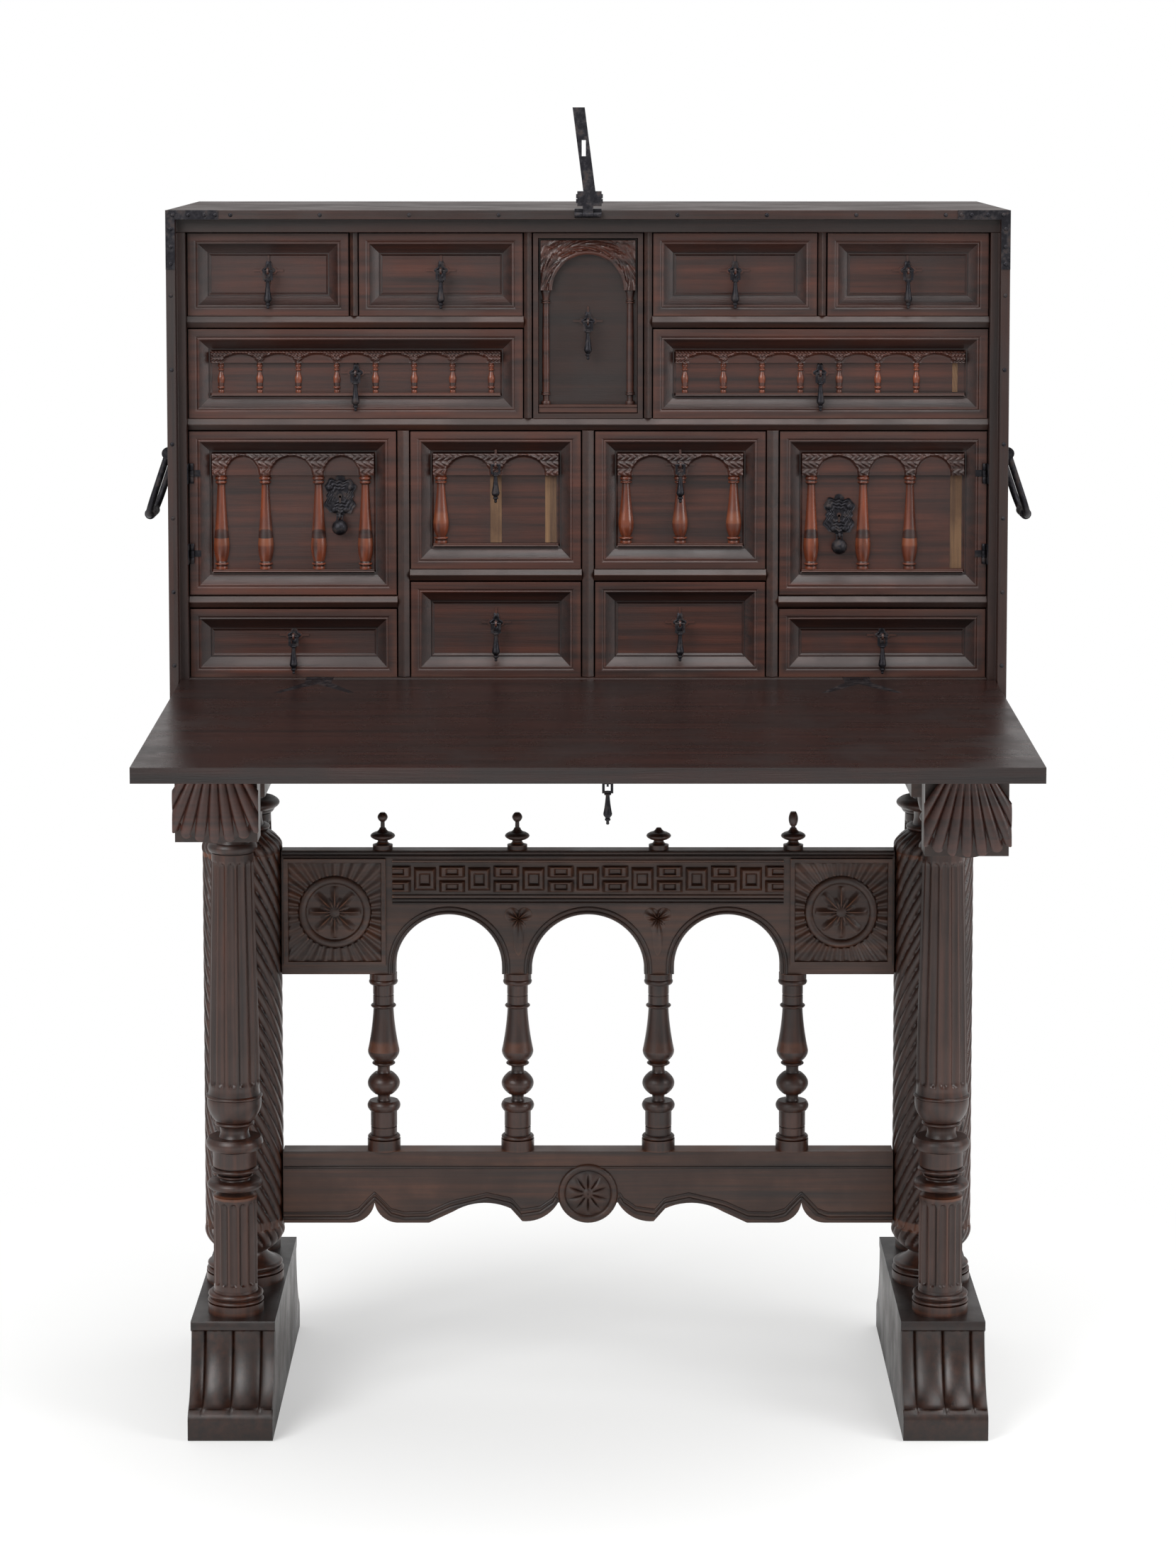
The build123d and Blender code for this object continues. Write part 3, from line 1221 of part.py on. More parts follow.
BALUSTER = [
    (21.5, 21.5, 16, 0),
    (20.0, 20.0, 5, 1.5),
    (17.0, 17.0, 32, 0),
    (20.0, 20.0, 13, 1.5),
    (9.0, 9.0, 9, -1),
    (14.0, 14.0, 28, 7),
    (9.0, 9.0, 10, -1),
    (13.0, 13.0, 5, 2),
    (12.0, 20.5, 15, 2),
    (20.5, 13.0, None, -1),
    (15.0, 15.0, 5, 1.5),
    (13.5, 13.5, 26, 0),
    (17.0, 17.0, 15, 1.5),
]
FINIAL_STUB = [(13, 13, 7, 0), (8, 8, 6, -1), (13, 13, 9, 3), (9, 4, 5, -1)]
FINIALS = {
    -BALUSTER_X[1]: (FINIAL_STUB + [(3, 3, 9, 0), (4, 4, None, 2.5)], 48),
    -BALUSTER_X[0]: (FINIAL_STUB + [(3, 3, 9, 0), (4, 4, None, 2.5)], 48),
    BALUSTER_X[0]: (FINIAL_STUB[:-1] + [(9, 3, None, -1)], 29),
    BALUSTER_X[1]: (FINIAL_STUB + [(2.6, 3, 3, 0), (4, 3.5, None, 2)], 50),
}
with BuildPart() as balusters:
    for x in FINIALS:
        turning((x, across(MID_DEPTH)), (STRETCHER_TOP, RAIL_BOTTOM), BALUSTER)
write(balusters, "balusters")

with BuildPart() as finials:
    for x, (outline, height) in FINIALS.items():
        turning((x, across(MID_DEPTH)), (RAIL_TOP, RAIL_TOP + height), outline)
write(finials, "finials")
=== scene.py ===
"""A vargueno writing cabinet with its fall open, on a bridge stand with spiral columns.

Lengths in this file are millimetres in the row's frame: X along the front, Y from the front to the
back and Z up. A depth is counted backwards from the front plane of the case.
"""

from __future__ import annotations

import logging
import math
from collections.abc import Callable, Sequence
from dataclasses import dataclass, field
from enum import Enum

import bpy
import numpy as np
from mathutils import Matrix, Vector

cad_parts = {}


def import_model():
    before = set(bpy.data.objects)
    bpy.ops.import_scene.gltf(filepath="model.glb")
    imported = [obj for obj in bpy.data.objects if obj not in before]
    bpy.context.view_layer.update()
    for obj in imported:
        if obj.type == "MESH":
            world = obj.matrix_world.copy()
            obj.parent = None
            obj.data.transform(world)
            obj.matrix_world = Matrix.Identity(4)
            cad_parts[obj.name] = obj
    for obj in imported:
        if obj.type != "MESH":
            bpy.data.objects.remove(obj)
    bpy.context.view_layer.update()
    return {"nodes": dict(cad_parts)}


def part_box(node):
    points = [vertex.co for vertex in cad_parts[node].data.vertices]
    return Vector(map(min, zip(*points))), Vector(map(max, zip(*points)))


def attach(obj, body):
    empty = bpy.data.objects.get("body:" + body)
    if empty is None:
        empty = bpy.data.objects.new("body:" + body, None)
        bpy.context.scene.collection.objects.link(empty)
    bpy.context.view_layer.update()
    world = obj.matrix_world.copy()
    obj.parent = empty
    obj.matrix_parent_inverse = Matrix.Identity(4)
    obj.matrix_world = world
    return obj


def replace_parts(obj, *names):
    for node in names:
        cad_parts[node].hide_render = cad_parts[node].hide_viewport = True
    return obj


LOG = logging.getLogger("vargueno")
MM = 0.001

CASE_FRONT = 51.54
CASE_TOP = 1545.0
HALF = 520.0
MID_DEPTH = 215.0
TRESTLE_X = 450.0
COLUMN_SPACING = 144.0
FOOT_TOP = 139.0
HEAD_BOTTOM = 812.0
FIELD_DEPTH = 46.0
FRAME_WIDTH = 28.0
TRIM_DEPTH = 40.0
RAIL_FACE = MID_DEPTH - 13.0
STRETCHER_FACE = MID_DEPTH - 16.0
RAIL_FOOT = 546.5
RAIL_TOP = 709.5
STRETCHER_TOP = 312.0
FIXED_BODY = "case_and_stand"

DRAWERS = (
    "top_1", "top_2", "top_3", "top_4", "long_left", "long_right", "niche",
    "arch_left", "arch_right", "lower_left", "lower_right", "bottom_left", "bottom_right",
)
Element = tuple[float, float, "float | None", float]
Span = tuple[float, float]
Relief = Callable[[np.ndarray, np.ndarray], np.ndarray]


class Side(Enum):
    """Left or right of the middle, as the sign of X."""

    LEFT = -1
    RIGHT = 1

    @property
    def label(self) -> str:
        """Lower-case name of the side."""
        return self.name.lower()


class Grain(Enum):
    """Axis that the fibres of a piece of wood follow."""

    ALONG_X = 0
    ALONG_Y = 1
    ALONG_Z = 2


# ---------------------------------------------------------------- surfaces


@dataclass
class Shape:
    """Vertices and faces of one piece, gathered lattice by lattice."""

    verts: list[np.ndarray] = field(default_factory=list)
    faces: list[list[int]] = field(default_factory=list)
    count: int = 0

    def lattice(
        self, points: np.ndarray, wrap_u: bool = False, wrap_v: bool = False, flip: bool = False
    ) -> None:
        """Adds a grid of points joined by four-sided faces.

        Args:
            points: array (n, m, 3) in millimetres.
            wrap_u: whether the last row joins the first.
            wrap_v: whether the last column joins the first.
            flip: whether the faces turn the other way.
        """
        n, m = points.shape[:2]
        rows, columns = np.arange(n if wrap_u else n - 1), np.arange(m if wrap_v else m - 1)
        i, j = (grid.ravel() for grid in np.meshgrid(rows, columns, indexing="ij"))
        near, far = (i + 1) % n, (j + 1) % m
        quads = np.stack([i * m + j, near * m + j, near * m + far, i * m + far], axis=1)
        if flip:
            quads = quads[:, ::-1]
        self.verts.append(points.reshape(-1, 3))
        self.faces.extend((quads + self.count).tolist())
        self.count += n * m

    def cap(self, loop: np.ndarray, flip: bool = False) -> None:
        """Closes a loop of points (n, 3) with one face."""
        order = list(range(self.count, self.count + len(loop)))
        self.verts.append(loop)
        self.faces.append(order[::-1] if flip else order)
        self.count += len(loop)

    def build(
        self, name: str, look: bpy.types.Material, body: str, smooth: float = 35.0
    ) -> bpy.types.Object:
        """Makes the object at the origin, lets it ride on its body and gives it its material.

        Args:
            name: name of the piece.
            look: its material.
            body: the CAD body that it moves with.
            smooth: angle in degrees above which an edge stays sharp.

        Returns:
            The new object.
        """
        mesh = bpy.data.meshes.new(name)
        mesh.from_pydata((np.concatenate(self.verts) * MM).tolist(), [], self.faces)
        mesh.polygons.foreach_set("use_smooth", np.ones(len(mesh.polygons), dtype=bool))
        mesh.set_sharp_from_angle(angle=math.radians(smooth))
        mesh.materials.append(look)
        piece = bpy.data.objects.new(name, mesh)
        bpy.context.scene.collection.objects.link(piece)
        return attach(piece, body)


def profile_of(elements: Sequence[Element], z_span: Span, steps: int = 8) -> np.ndarray:
    """Outline of a turned piece as rows of (radius, z).

    Each element bows out by its swell: radius = straight line + 4 * swell * t * (1 - t).

    Args:
        elements: (lower radius, upper radius, height or None, swell), from the foot up.
        z_span: heights of the foot and of the top.
        steps: number of points on each element.

    Returns:
        Array (n, 2), closed to the axis at both ends.
    """
    free = z_span[1] - z_span[0] - sum(e[2] for e in elements if e[2])
    rows = [np.array([[0.05, z_span[0]]])]
    z = z_span[0]
    for low, high, height, swell in elements:
        tall = height or free
        fine = steps * 3 if swell > 1.5 else steps
        t = np.linspace(0.0, 1.0, fine)
        rows.append(np.stack([low + (high - low) * t + 4 * swell * t * (1 - t), z + tall * t], axis=1))
        z += tall
    rows.append(np.array([[0.05, z]]))
    return np.concatenate(rows)


def turned(
    shape: Shape,
    centre: Span,
    profile: np.ndarray,
    segments: int = 64,
    cut: Relief | None = None,
    arc: Span = (0.0, 2 * math.pi),
) -> None:
    """Adds a surface of revolution whose radius may be cut into by a function of height and angle.

    Args:
        shape: what it is added to.
        centre: (x, y) of the upright axis.
        profile: rows of (radius, z).
        segments: number of steps round the axis.
        cut: gives what is taken off the radius for arrays of z and angle.
        arc: first and last angle; a whole turn closes on itself.
    """
    whole = abs(arc[1] - arc[0] - 2 * math.pi) < 1e-6
    angle = np.linspace(arc[0], arc[1], segments + (0 if whole else 1), endpoint=not whole)
    radius = np.repeat(profile[:, :1], len(angle), axis=1)
    z = np.repeat(profile[:, 1:], len(angle), axis=1)
    turn = np.repeat(angle[None, :], len(profile), axis=0)
    if cut:
        radius = np.maximum(radius - cut(z, turn), 0.05)
    points = np.stack([centre[0] + radius * np.cos(turn), centre[1] + radius * np.sin(turn), z], axis=2)
    shape.lattice(points, wrap_v=whole, flip=True)


def slab(
    shape: Shape, x_span: Span, z_span: Span, back: float, height: Relief, cells: tuple[int, int]
) -> None:
    """Adds a carved plate: a grid whose points stand forward of a back plane by height(x, z).

    Args:
        shape: what it is added to.
        x_span: left and right edges.
        z_span: lower and upper edges.
        back: depth of the plane that it lies on.
        height: how far each point stands in front of that plane.
        cells: number of steps along X and along Z.
    """
    x, z = np.meshgrid(np.linspace(*x_span, cells[0]), np.linspace(*z_span, cells[1]), indexing="ij")
    face = np.stack([x, CASE_FRONT + back - height(x, z), z], axis=2)
    skirted(shape, face, back)


def skirted(shape: Shape, face: np.ndarray, back: float) -> None:
    """Adds a face that looks to the front and its four edges, drawn back to a plane."""
    shape.lattice(face)
    rim = np.concatenate([face[:, 0], face[-1, 1:], face[-2::-1, -1], face[0, -2:0:-1]])
    foot = rim.copy()
    foot[:, 1] = CASE_FRONT + back
    shape.lattice(np.stack([foot, rim]), wrap_v=True, flip=True)


def mitred(shape: Shape, x_span: Span, z_span: Span, section: Sequence[Span]) -> None:
    """Adds a mitred frame round a rectangle from its section, given as (inset, depth) points."""
    s = np.array(section)
    inset, depth = s[:, 0], CASE_FRONT + s[:, 1]
    low, high = x_span[0] + inset, x_span[1] - inset
    foot, top = z_span[0] + inset, z_span[1] - inset
    corners = [(low, foot), (high, foot), (high, top), (low, top)]
    points = np.stack([np.stack([x, depth, z], axis=1) for x, z in corners], axis=1)
    shape.lattice(points, wrap_v=True, flip=True)


def tube(shape: Shape, path: np.ndarray, radius: float, segments: int = 8) -> None:
    """Adds a round bead along a path (n, 3) that stays close to one upright plane.

    Each ring is spanned by the path's normal within that plane and by the Y axis.
    """
    ahead = np.roll(path, -1, axis=0) - np.roll(path, 1, axis=0)
    ahead[0], ahead[-1] = path[1] - path[0], path[-1] - path[-2]
    ahead /= np.linalg.norm(ahead, axis=1)[:, None] + 1e-9
    out = np.stack([ahead[:, 2], np.zeros(len(path)), -ahead[:, 0]], axis=1)
    out /= np.linalg.norm(out, axis=1)[:, None] + 1e-9
    away = np.cross(ahead, out)
    t = np.linspace(0, 2 * math.pi, segments, endpoint=False)
    cosine, sine = np.cos(t)[None, :, None], np.sin(t)[None, :, None]
    rings = path[:, None] + radius * (out[:, None] * cosine + away[:, None] * sine)
    shape.lattice(rings, wrap_v=True)


def domes(shape: Shape, centres: Sequence[Sequence[float]], radius: float, outward: Sequence[float]) -> None:
    """Adds a low round nail head at each centre (x, y, z), facing outward."""
    normal = np.array(outward, float)
    side = np.cross(normal, [0.3, 0.5, 0.8])
    side /= np.linalg.norm(side)
    other = np.cross(normal, side)
    rise = np.linspace(0, math.pi / 2 - 0.05, 5)
    turn = np.linspace(0, 2 * math.pi, 12, endpoint=False)
    for centre in centres:
        ring = np.cos(rise)[:, None, None] * (
            side * np.cos(turn)[None, :, None] + other * np.sin(turn)[None, :, None]
        )
        points = np.array(centre) + radius * (ring + 0.55 * normal * np.sin(rise)[:, None, None])
        shape.lattice(points, wrap_v=True, flip=True)
        shape.cap(points[-1])


def polar(
    shape: Shape, centre: Span, back: float, rim: np.ndarray, height: Relief,
    inner: float = 0.02, rows: int = 40, turns: np.ndarray | None = None,
) -> None:
    """Adds a carved disc or fan: points at shares s of the rim radius, raised by height(s, angle).

    Args:
        shape: what it is added to.
        centre: (x, z) of the middle.
        back: depth of the plane that it lies on.
        rim: radius of the outline at each angle.
        height: how far each point stands in front of the plane.
        inner: the first share of the radius.
        rows: number of steps along the radius.
        turns: angles of the rim, for a fan; a whole disc when left out.
    """
    whole = turns is None
    angle = np.linspace(0, 2 * math.pi, len(rim), endpoint=False) if whole else turns
    s, t = np.meshgrid(np.linspace(inner, 1, rows), angle, indexing="ij")
    radius = s * rim[None, :]
    depth = CASE_FRONT + back - height(s, t)
    face = np.stack([centre[0] + radius * np.cos(t), depth, centre[1] + radius * np.sin(t)], axis=2)
    shape.lattice(face, wrap_v=whole)
    foot = face[-1].copy()
    foot[:, 1] = CASE_FRONT + back
    shape.lattice(np.stack([face[-1], foot]), wrap_v=whole)


# ---------------------------------------------------------------- materials


def colour(code: str) -> tuple[float, float, float, float]:
    """Linear colour of an sRGB hex code such as "#4A2A22"."""
    raw = np.array([int(code[k : k + 2], 16) for k in (1, 3, 5)]) / 255
    linear = np.where(raw <= 0.04045, raw / 12.92, ((raw + 0.055) / 1.055) ** 2.4)
    return (*linear.tolist(), 1.0)


@dataclass(frozen=True)
class Wood:
    """Finish of one kind of wood surface."""

    name: str
    dark: str
    light: str
    worn: str
    wear: float = 0.4
    gloss: float = 0.35
    grain: Grain = Grain.ALONG_X
    relief: float = 0.25


@dataclass(frozen=True)
class Iron:
    """Finish of hammered iron."""

    name: str
    base: str
    rust: str
    rough: float = 0.45


@dataclass
class Nodes:
    """A material's node tree, with one function that adds and wires a node."""

    look: bpy.types.Material

    def add(self, kind: str, settings: dict[str, object] | None = None, **inputs: object) -> bpy.types.Node:
        """Adds a node of this kind.

        Args:
            kind: Blender's name of the node type.
            settings: properties of the node.
            **inputs: values or sockets for its inputs; i and a number name an input by its
                place, and an underscore stands for a space.

        Returns:
            The node.
        """
        node = self.look.node_tree.nodes.new(kind)
        for key, value in (settings or {}).items():
            setattr(node, key, value)
        for key, value in inputs.items():
            numbered = key[0] == "i" and key[1:].isdigit()
            socket = node.inputs[int(key[1:]) if numbered else key.replace("_", " ")]
            if isinstance(value, bpy.types.NodeSocket):
                self.look.node_tree.links.new(value, socket)
            else:
                socket.default_value = value
        return node

    def ramp(self, source: bpy.types.NodeSocket, stops: Sequence[tuple[float, str]]) -> bpy.types.NodeSocket:
        """Colour ramp over a value, from (place, hex colour) stops."""
        node = self.add("ShaderNodeValToRGB", i0=source)
        points = node.color_ramp.elements
        for k, (place, code) in enumerate(stops):
            point = points[k] if k < 2 else points.new(place)
            point.position, point.color = place, colour(code)
        return node.outputs[0]

    def mix(self, share: object, a: object, b: object) -> bpy.types.NodeSocket:
        """Mixes two colours."""
        node = self.add("ShaderNodeMix", {"data_type": "RGBA"}, i0=share, i6=a, i7=b)
        return node.outputs[2]

    def window(
        self, source: bpy.types.NodeSocket, low: float, high: float, to: Span = (0.0, 1.0)
    ) -> bpy.types.NodeSocket:
        """Maps low..high of a value onto another range, with soft ends."""
        soft = {"interpolation_type": "SMOOTHSTEP"}
        node = self.add("ShaderNodeMapRange", soft, i0=source, i1=low, i2=high, i3=to[0], i4=to[1])
        return node.outputs[0]


def fresh(name: str) -> Nodes:
    """A new material with an empty node tree."""
    look = bpy.data.materials.new(name)
    look.use_nodes = True
    look.node_tree.nodes.clear()
    return Nodes(look)


def wood_material(finish: Wood) -> bpy.types.Material:
    """Old waxed wood: streaks along the grain, blotches, pores, edges worn paler and painted shade darkening
    the hollows.

    The streaks come from noise that is stretched forty times along the grain; one unit of the
    texture is a millimetre across it.
    """
    tree = fresh(finish.name)
    place = tree.add("ShaderNodeTexCoord").outputs["Object"]
    across, along = 1000.0, 25.0
    scale = [across, across, across]
    scale[finish.grain.value] = along
    grained = tree.add("ShaderNodeMapping", i0=place, i3=tuple(scale)).outputs[0]
    streak = tree.add("ShaderNodeTexNoise", i0=grained, Scale=0.11, Detail=6.0, Roughness=0.6).outputs[0]
    pores = tree.add("ShaderNodeTexNoise", i0=grained, Scale=0.9, Detail=3.0, Roughness=0.7).outputs[0]
    blotch = tree.add("ShaderNodeTexNoise", i0=place, Scale=9.0, Detail=5.0, Roughness=0.62).outputs[0]
    body = tree.ramp(streak, [(0.33, finish.dark), (0.68, finish.light)])
    body = tree.mix(tree.window(blotch, 0.40, 0.66, (0.0, 0.55)), body, colour(finish.dark))
    edge = tree.add("ShaderNodeNewGeometry").outputs["Pointiness"]
    raised = tree.window(edge, 0.515, 0.60, (0.0, finish.wear))
    patch = tree.window(blotch, 0.46, 0.62, (0.25, 1.0))
    share = tree.add("ShaderNodeMath", {"operation": "MULTIPLY"}, i0=raised, i1=patch).outputs[0]
    body = tree.mix(share, body, colour(finish.worn))
    # painted shade: concave spots (low pointiness) are mixed towards near-black #0D0808, by up to 0.75
    painted_hollow_shade = tree.window(edge, 0.40, 0.492, (0.75, 0.0))
    body = tree.mix(painted_hollow_shade, body, colour("#0D0808"))
    rough = tree.window(blotch, 0.3, 0.75, (finish.gloss, finish.gloss + 0.22))
    high = tree.add("ShaderNodeMath", {"operation": "ADD"}, i0=pores, i1=streak).outputs[0]
    bump = tree.add("ShaderNodeBump", Strength=finish.relief, Distance=0.0006, Height=high).outputs[0]
    shader = tree.add("ShaderNodeBsdfPrincipled", Base_Color=body, Roughness=rough, Normal=bump)
    tree.add("ShaderNodeOutputMaterial", Surface=shader.outputs[0])
    return tree.look


def iron_material(finish: Iron) -> bpy.types.Material:
    """Hammered iron: a dark skin with rust patches, and small dents 3 to 6 mm across."""
    tree = fresh(finish.name)
    place = tree.add("ShaderNodeTexCoord").outputs["Object"]
    spots = tree.add("ShaderNodeTexNoise", i0=place, Scale=90.0, Detail=5.0, Roughness=0.65).outputs[0]
    dents = tree.add("ShaderNodeTexVoronoi", i0=place, Scale=220.0).outputs[0]
    body = tree.mix(tree.window(spots, 0.5, 0.68, (0.0, 0.8)), colour(finish.base), colour(finish.rust))
    metal = tree.window(spots, 0.45, 0.65, (0.85, 0.3))
    rough = tree.window(spots, 0.35, 0.7, (finish.rough, finish.rough + 0.3))
    bump = tree.add("ShaderNodeBump", Strength=0.35, Distance=0.0008, Height=dents).outputs[0]
    shader = tree.add(
        "ShaderNodeBsdfPrincipled", Base_Color=body, Metallic=metal, Roughness=rough, Normal=bump
    )
    tree.add("ShaderNodeOutputMaterial", Surface=shader.outputs[0])
    return tree.look


FINISHES: dict[str, Wood | Iron] = {
    "case": Wood("case_walnut", "#150A07", "#301811", "#5A382A", 0.0, 0.34),
    "upright": Wood("case_walnut_upright", "#170B08", "#321A13", "#5A382A", 0.0, 0.34, Grain.ALONG_Z),
    "fall": Wood("fall_walnut", "#120A09", "#2B1713", "#5A3324", 0.0, 0.18, Grain.ALONG_X, 0.35),
    "clamp": Wood("divider_walnut", "#1B0D09", "#3C2016", "#6A4636", 0.0, 0.32),
    "drawer": Wood("drawer_walnut", "#1E0F0C", "#4A261B", "#70412B", 0.2, 0.31),
    "trim": Wood("carved_pearwood", "#34170F", "#7A3C24", "#A05C38", 0.25, 0.22, Grain.ALONG_Z, 0.1),
    "stand": Wood("stand_walnut", "#190C08", "#402216", "#7A4528", 0.4, 0.30, Grain.ALONG_Z, 0.15),
    "rail": Wood("rail_walnut", "#1B0D08", "#472716", "#7A4A2C", 0.6, 0.36),
    "foot": Wood("foot_walnut", "#140A07", "#331C13", "#5A3C2C", 0.3, 0.26, Grain.ALONG_Y),
    "scar": Wood("bare_glue_scar", "#2E1A12", "#77583A", "#77583A", 0.0, 0.6, Grain.ALONG_Z, 0.3),
    "iron": Iron("wrought_iron", "#232226", "#2A1C18", 0.38),
}


@dataclass
class Looks:
    """The materials of the cabinet."""

    case: bpy.types.Material
    upright: bpy.types.Material
    fall: bpy.types.Material
    clamp: bpy.types.Material
    drawer: bpy.types.Material
    trim: bpy.types.Material
    stand: bpy.types.Material
    rail: bpy.types.Material
    foot: bpy.types.Material
    scar: bpy.types.Material
    iron: bpy.types.Material

    @classmethod
    def make(cls) -> Looks:
        """Makes the material of every finish."""
        return cls(**{
            slot: wood_material(finish) if isinstance(finish, Wood) else iron_material(finish)
            for slot, finish in FINISHES.items()
        })


# ---------------------------------------------------------------- the case


@dataclass
class Case:
    """Boards of the case and of the fall, their edges and nails."""

    looks: Looks
    nodes: dict[str, bpy.types.Object]

    def dress(self) -> None:
        """Gives every CAD node its material and softens the edges of the boards."""
        for name, node in self.nodes.items():
            node.data.materials.clear()
            node.data.materials.append(self.look_of(name))
            if name.startswith((
                "case_", "fall_board", "shelf", "upright", "trestle", "loper", "drawer", "door_left",
                "door_right", "arcade", "lower_str",
            )):
                weld = node.modifiers.new("join", "WELD")
                weld.merge_threshold = 1e-5
                bevel = node.modifiers.new("soft_edges", "BEVEL")
                bevel.width = 0.9 * MM
                bevel.segments = 2
                bevel.limit_method = "ANGLE"
                bevel.angle_limit = math.radians(45)
                bevel.harden_normals = True

    def look_of(self, name: str) -> bpy.types.Material:
        """Material of a CAD node by its name."""
        looks = self.looks
        table = (
            (("pull_", "ball_", "bail_", "hasp", "fall_iron", "fall_lock", "fall_pendant", "case_iron",
              "door_lock"), looks.iron),
            (("drawer_niche",), looks.clamp),
            (("drawer_", "door_"), looks.drawer),
            (("shelf", "upright"), looks.clamp),
            (("case_side",), looks.upright),
            (("fall_board",), looks.fall),
            (("case_",), looks.case),
            (("arcade", "lower_str"), looks.rail),
            (("foot", "trestle", "loper"), looks.foot),
        )
        for starts, look in table:
            if name.startswith(starts):
                return look
        return looks.stand

    def nails(self) -> None:
        """Nail heads along the lips of the case, on the corner irons and down its sides."""
        shape = Shape()
        front = CASE_FRONT - 0.02
        spots = [(x, front, CASE_TOP - 6) for x in np.linspace(-440, 440, 9)]
        spots += [(s * (HALF - 6), front, z) for s in (-1, 1) for z in np.linspace(980, 1440, 6)]
        domes(shape, spots, 2.6, (0, -1, 0))
        iron_face = CASE_FRONT - 1.2
        corner = [(s * x, iron_face, CASE_TOP - 5.8) for s in (-1, 1) for x in (511, 492, 472, 459)]
        corner += [(s * 514, iron_face, z) for s in (-1, 1) for z in (1522, 1500, 1479)]
        domes(shape, corner, 2.8, (0, -1, 0))
        for s in (-1, 1):
            rows = [(s * HALF, CASE_FRONT + d, z) for d in (14, 410) for z in np.linspace(975, 1500, 7)]
            domes(shape, rows, 2.6, (s, 0, 0))
        shape.build("case_nails", self.looks.iron, FIXED_BODY)

    def build(self) -> None:
        """Makes the whole sub-assembly."""
        self.dress()
        self.nails()


# ---------------------------------------------------------------- drawers and doors

FRAME_SECTION: Sequence[Span] = (
    (0.0, 36.0), (0.0, 34.6), (0.8, 33.8), (8.2, 33.8), (9.0, 34.4), (9.4, 35.3), (10.2, 35.3), (10.8, 34.4),
    (12.0, 33.9), (13.2, 34.3), (13.9, 35.2), (24.4, 42.3), (24.6, 43.6), (26.2, 43.8), (26.8, 44.4),
    (28.4, 45.7),
)
COLONNETTE: Sequence[Element] = (
    (5.6, 5.6, 4, 0.2), (3.6, 3.6, 8, 0), (5.4, 5.4, 2, 0.5), (4.2, 4.2, 2, 0), (4.4, 3.8, None, 0.4),
    (5.2, 5.2, 1.6, 0.5), (3.8, 3.8, 3, 0), (3.8, 5.6, 9, 0), (6.0, 6.0, 3, 0),
)


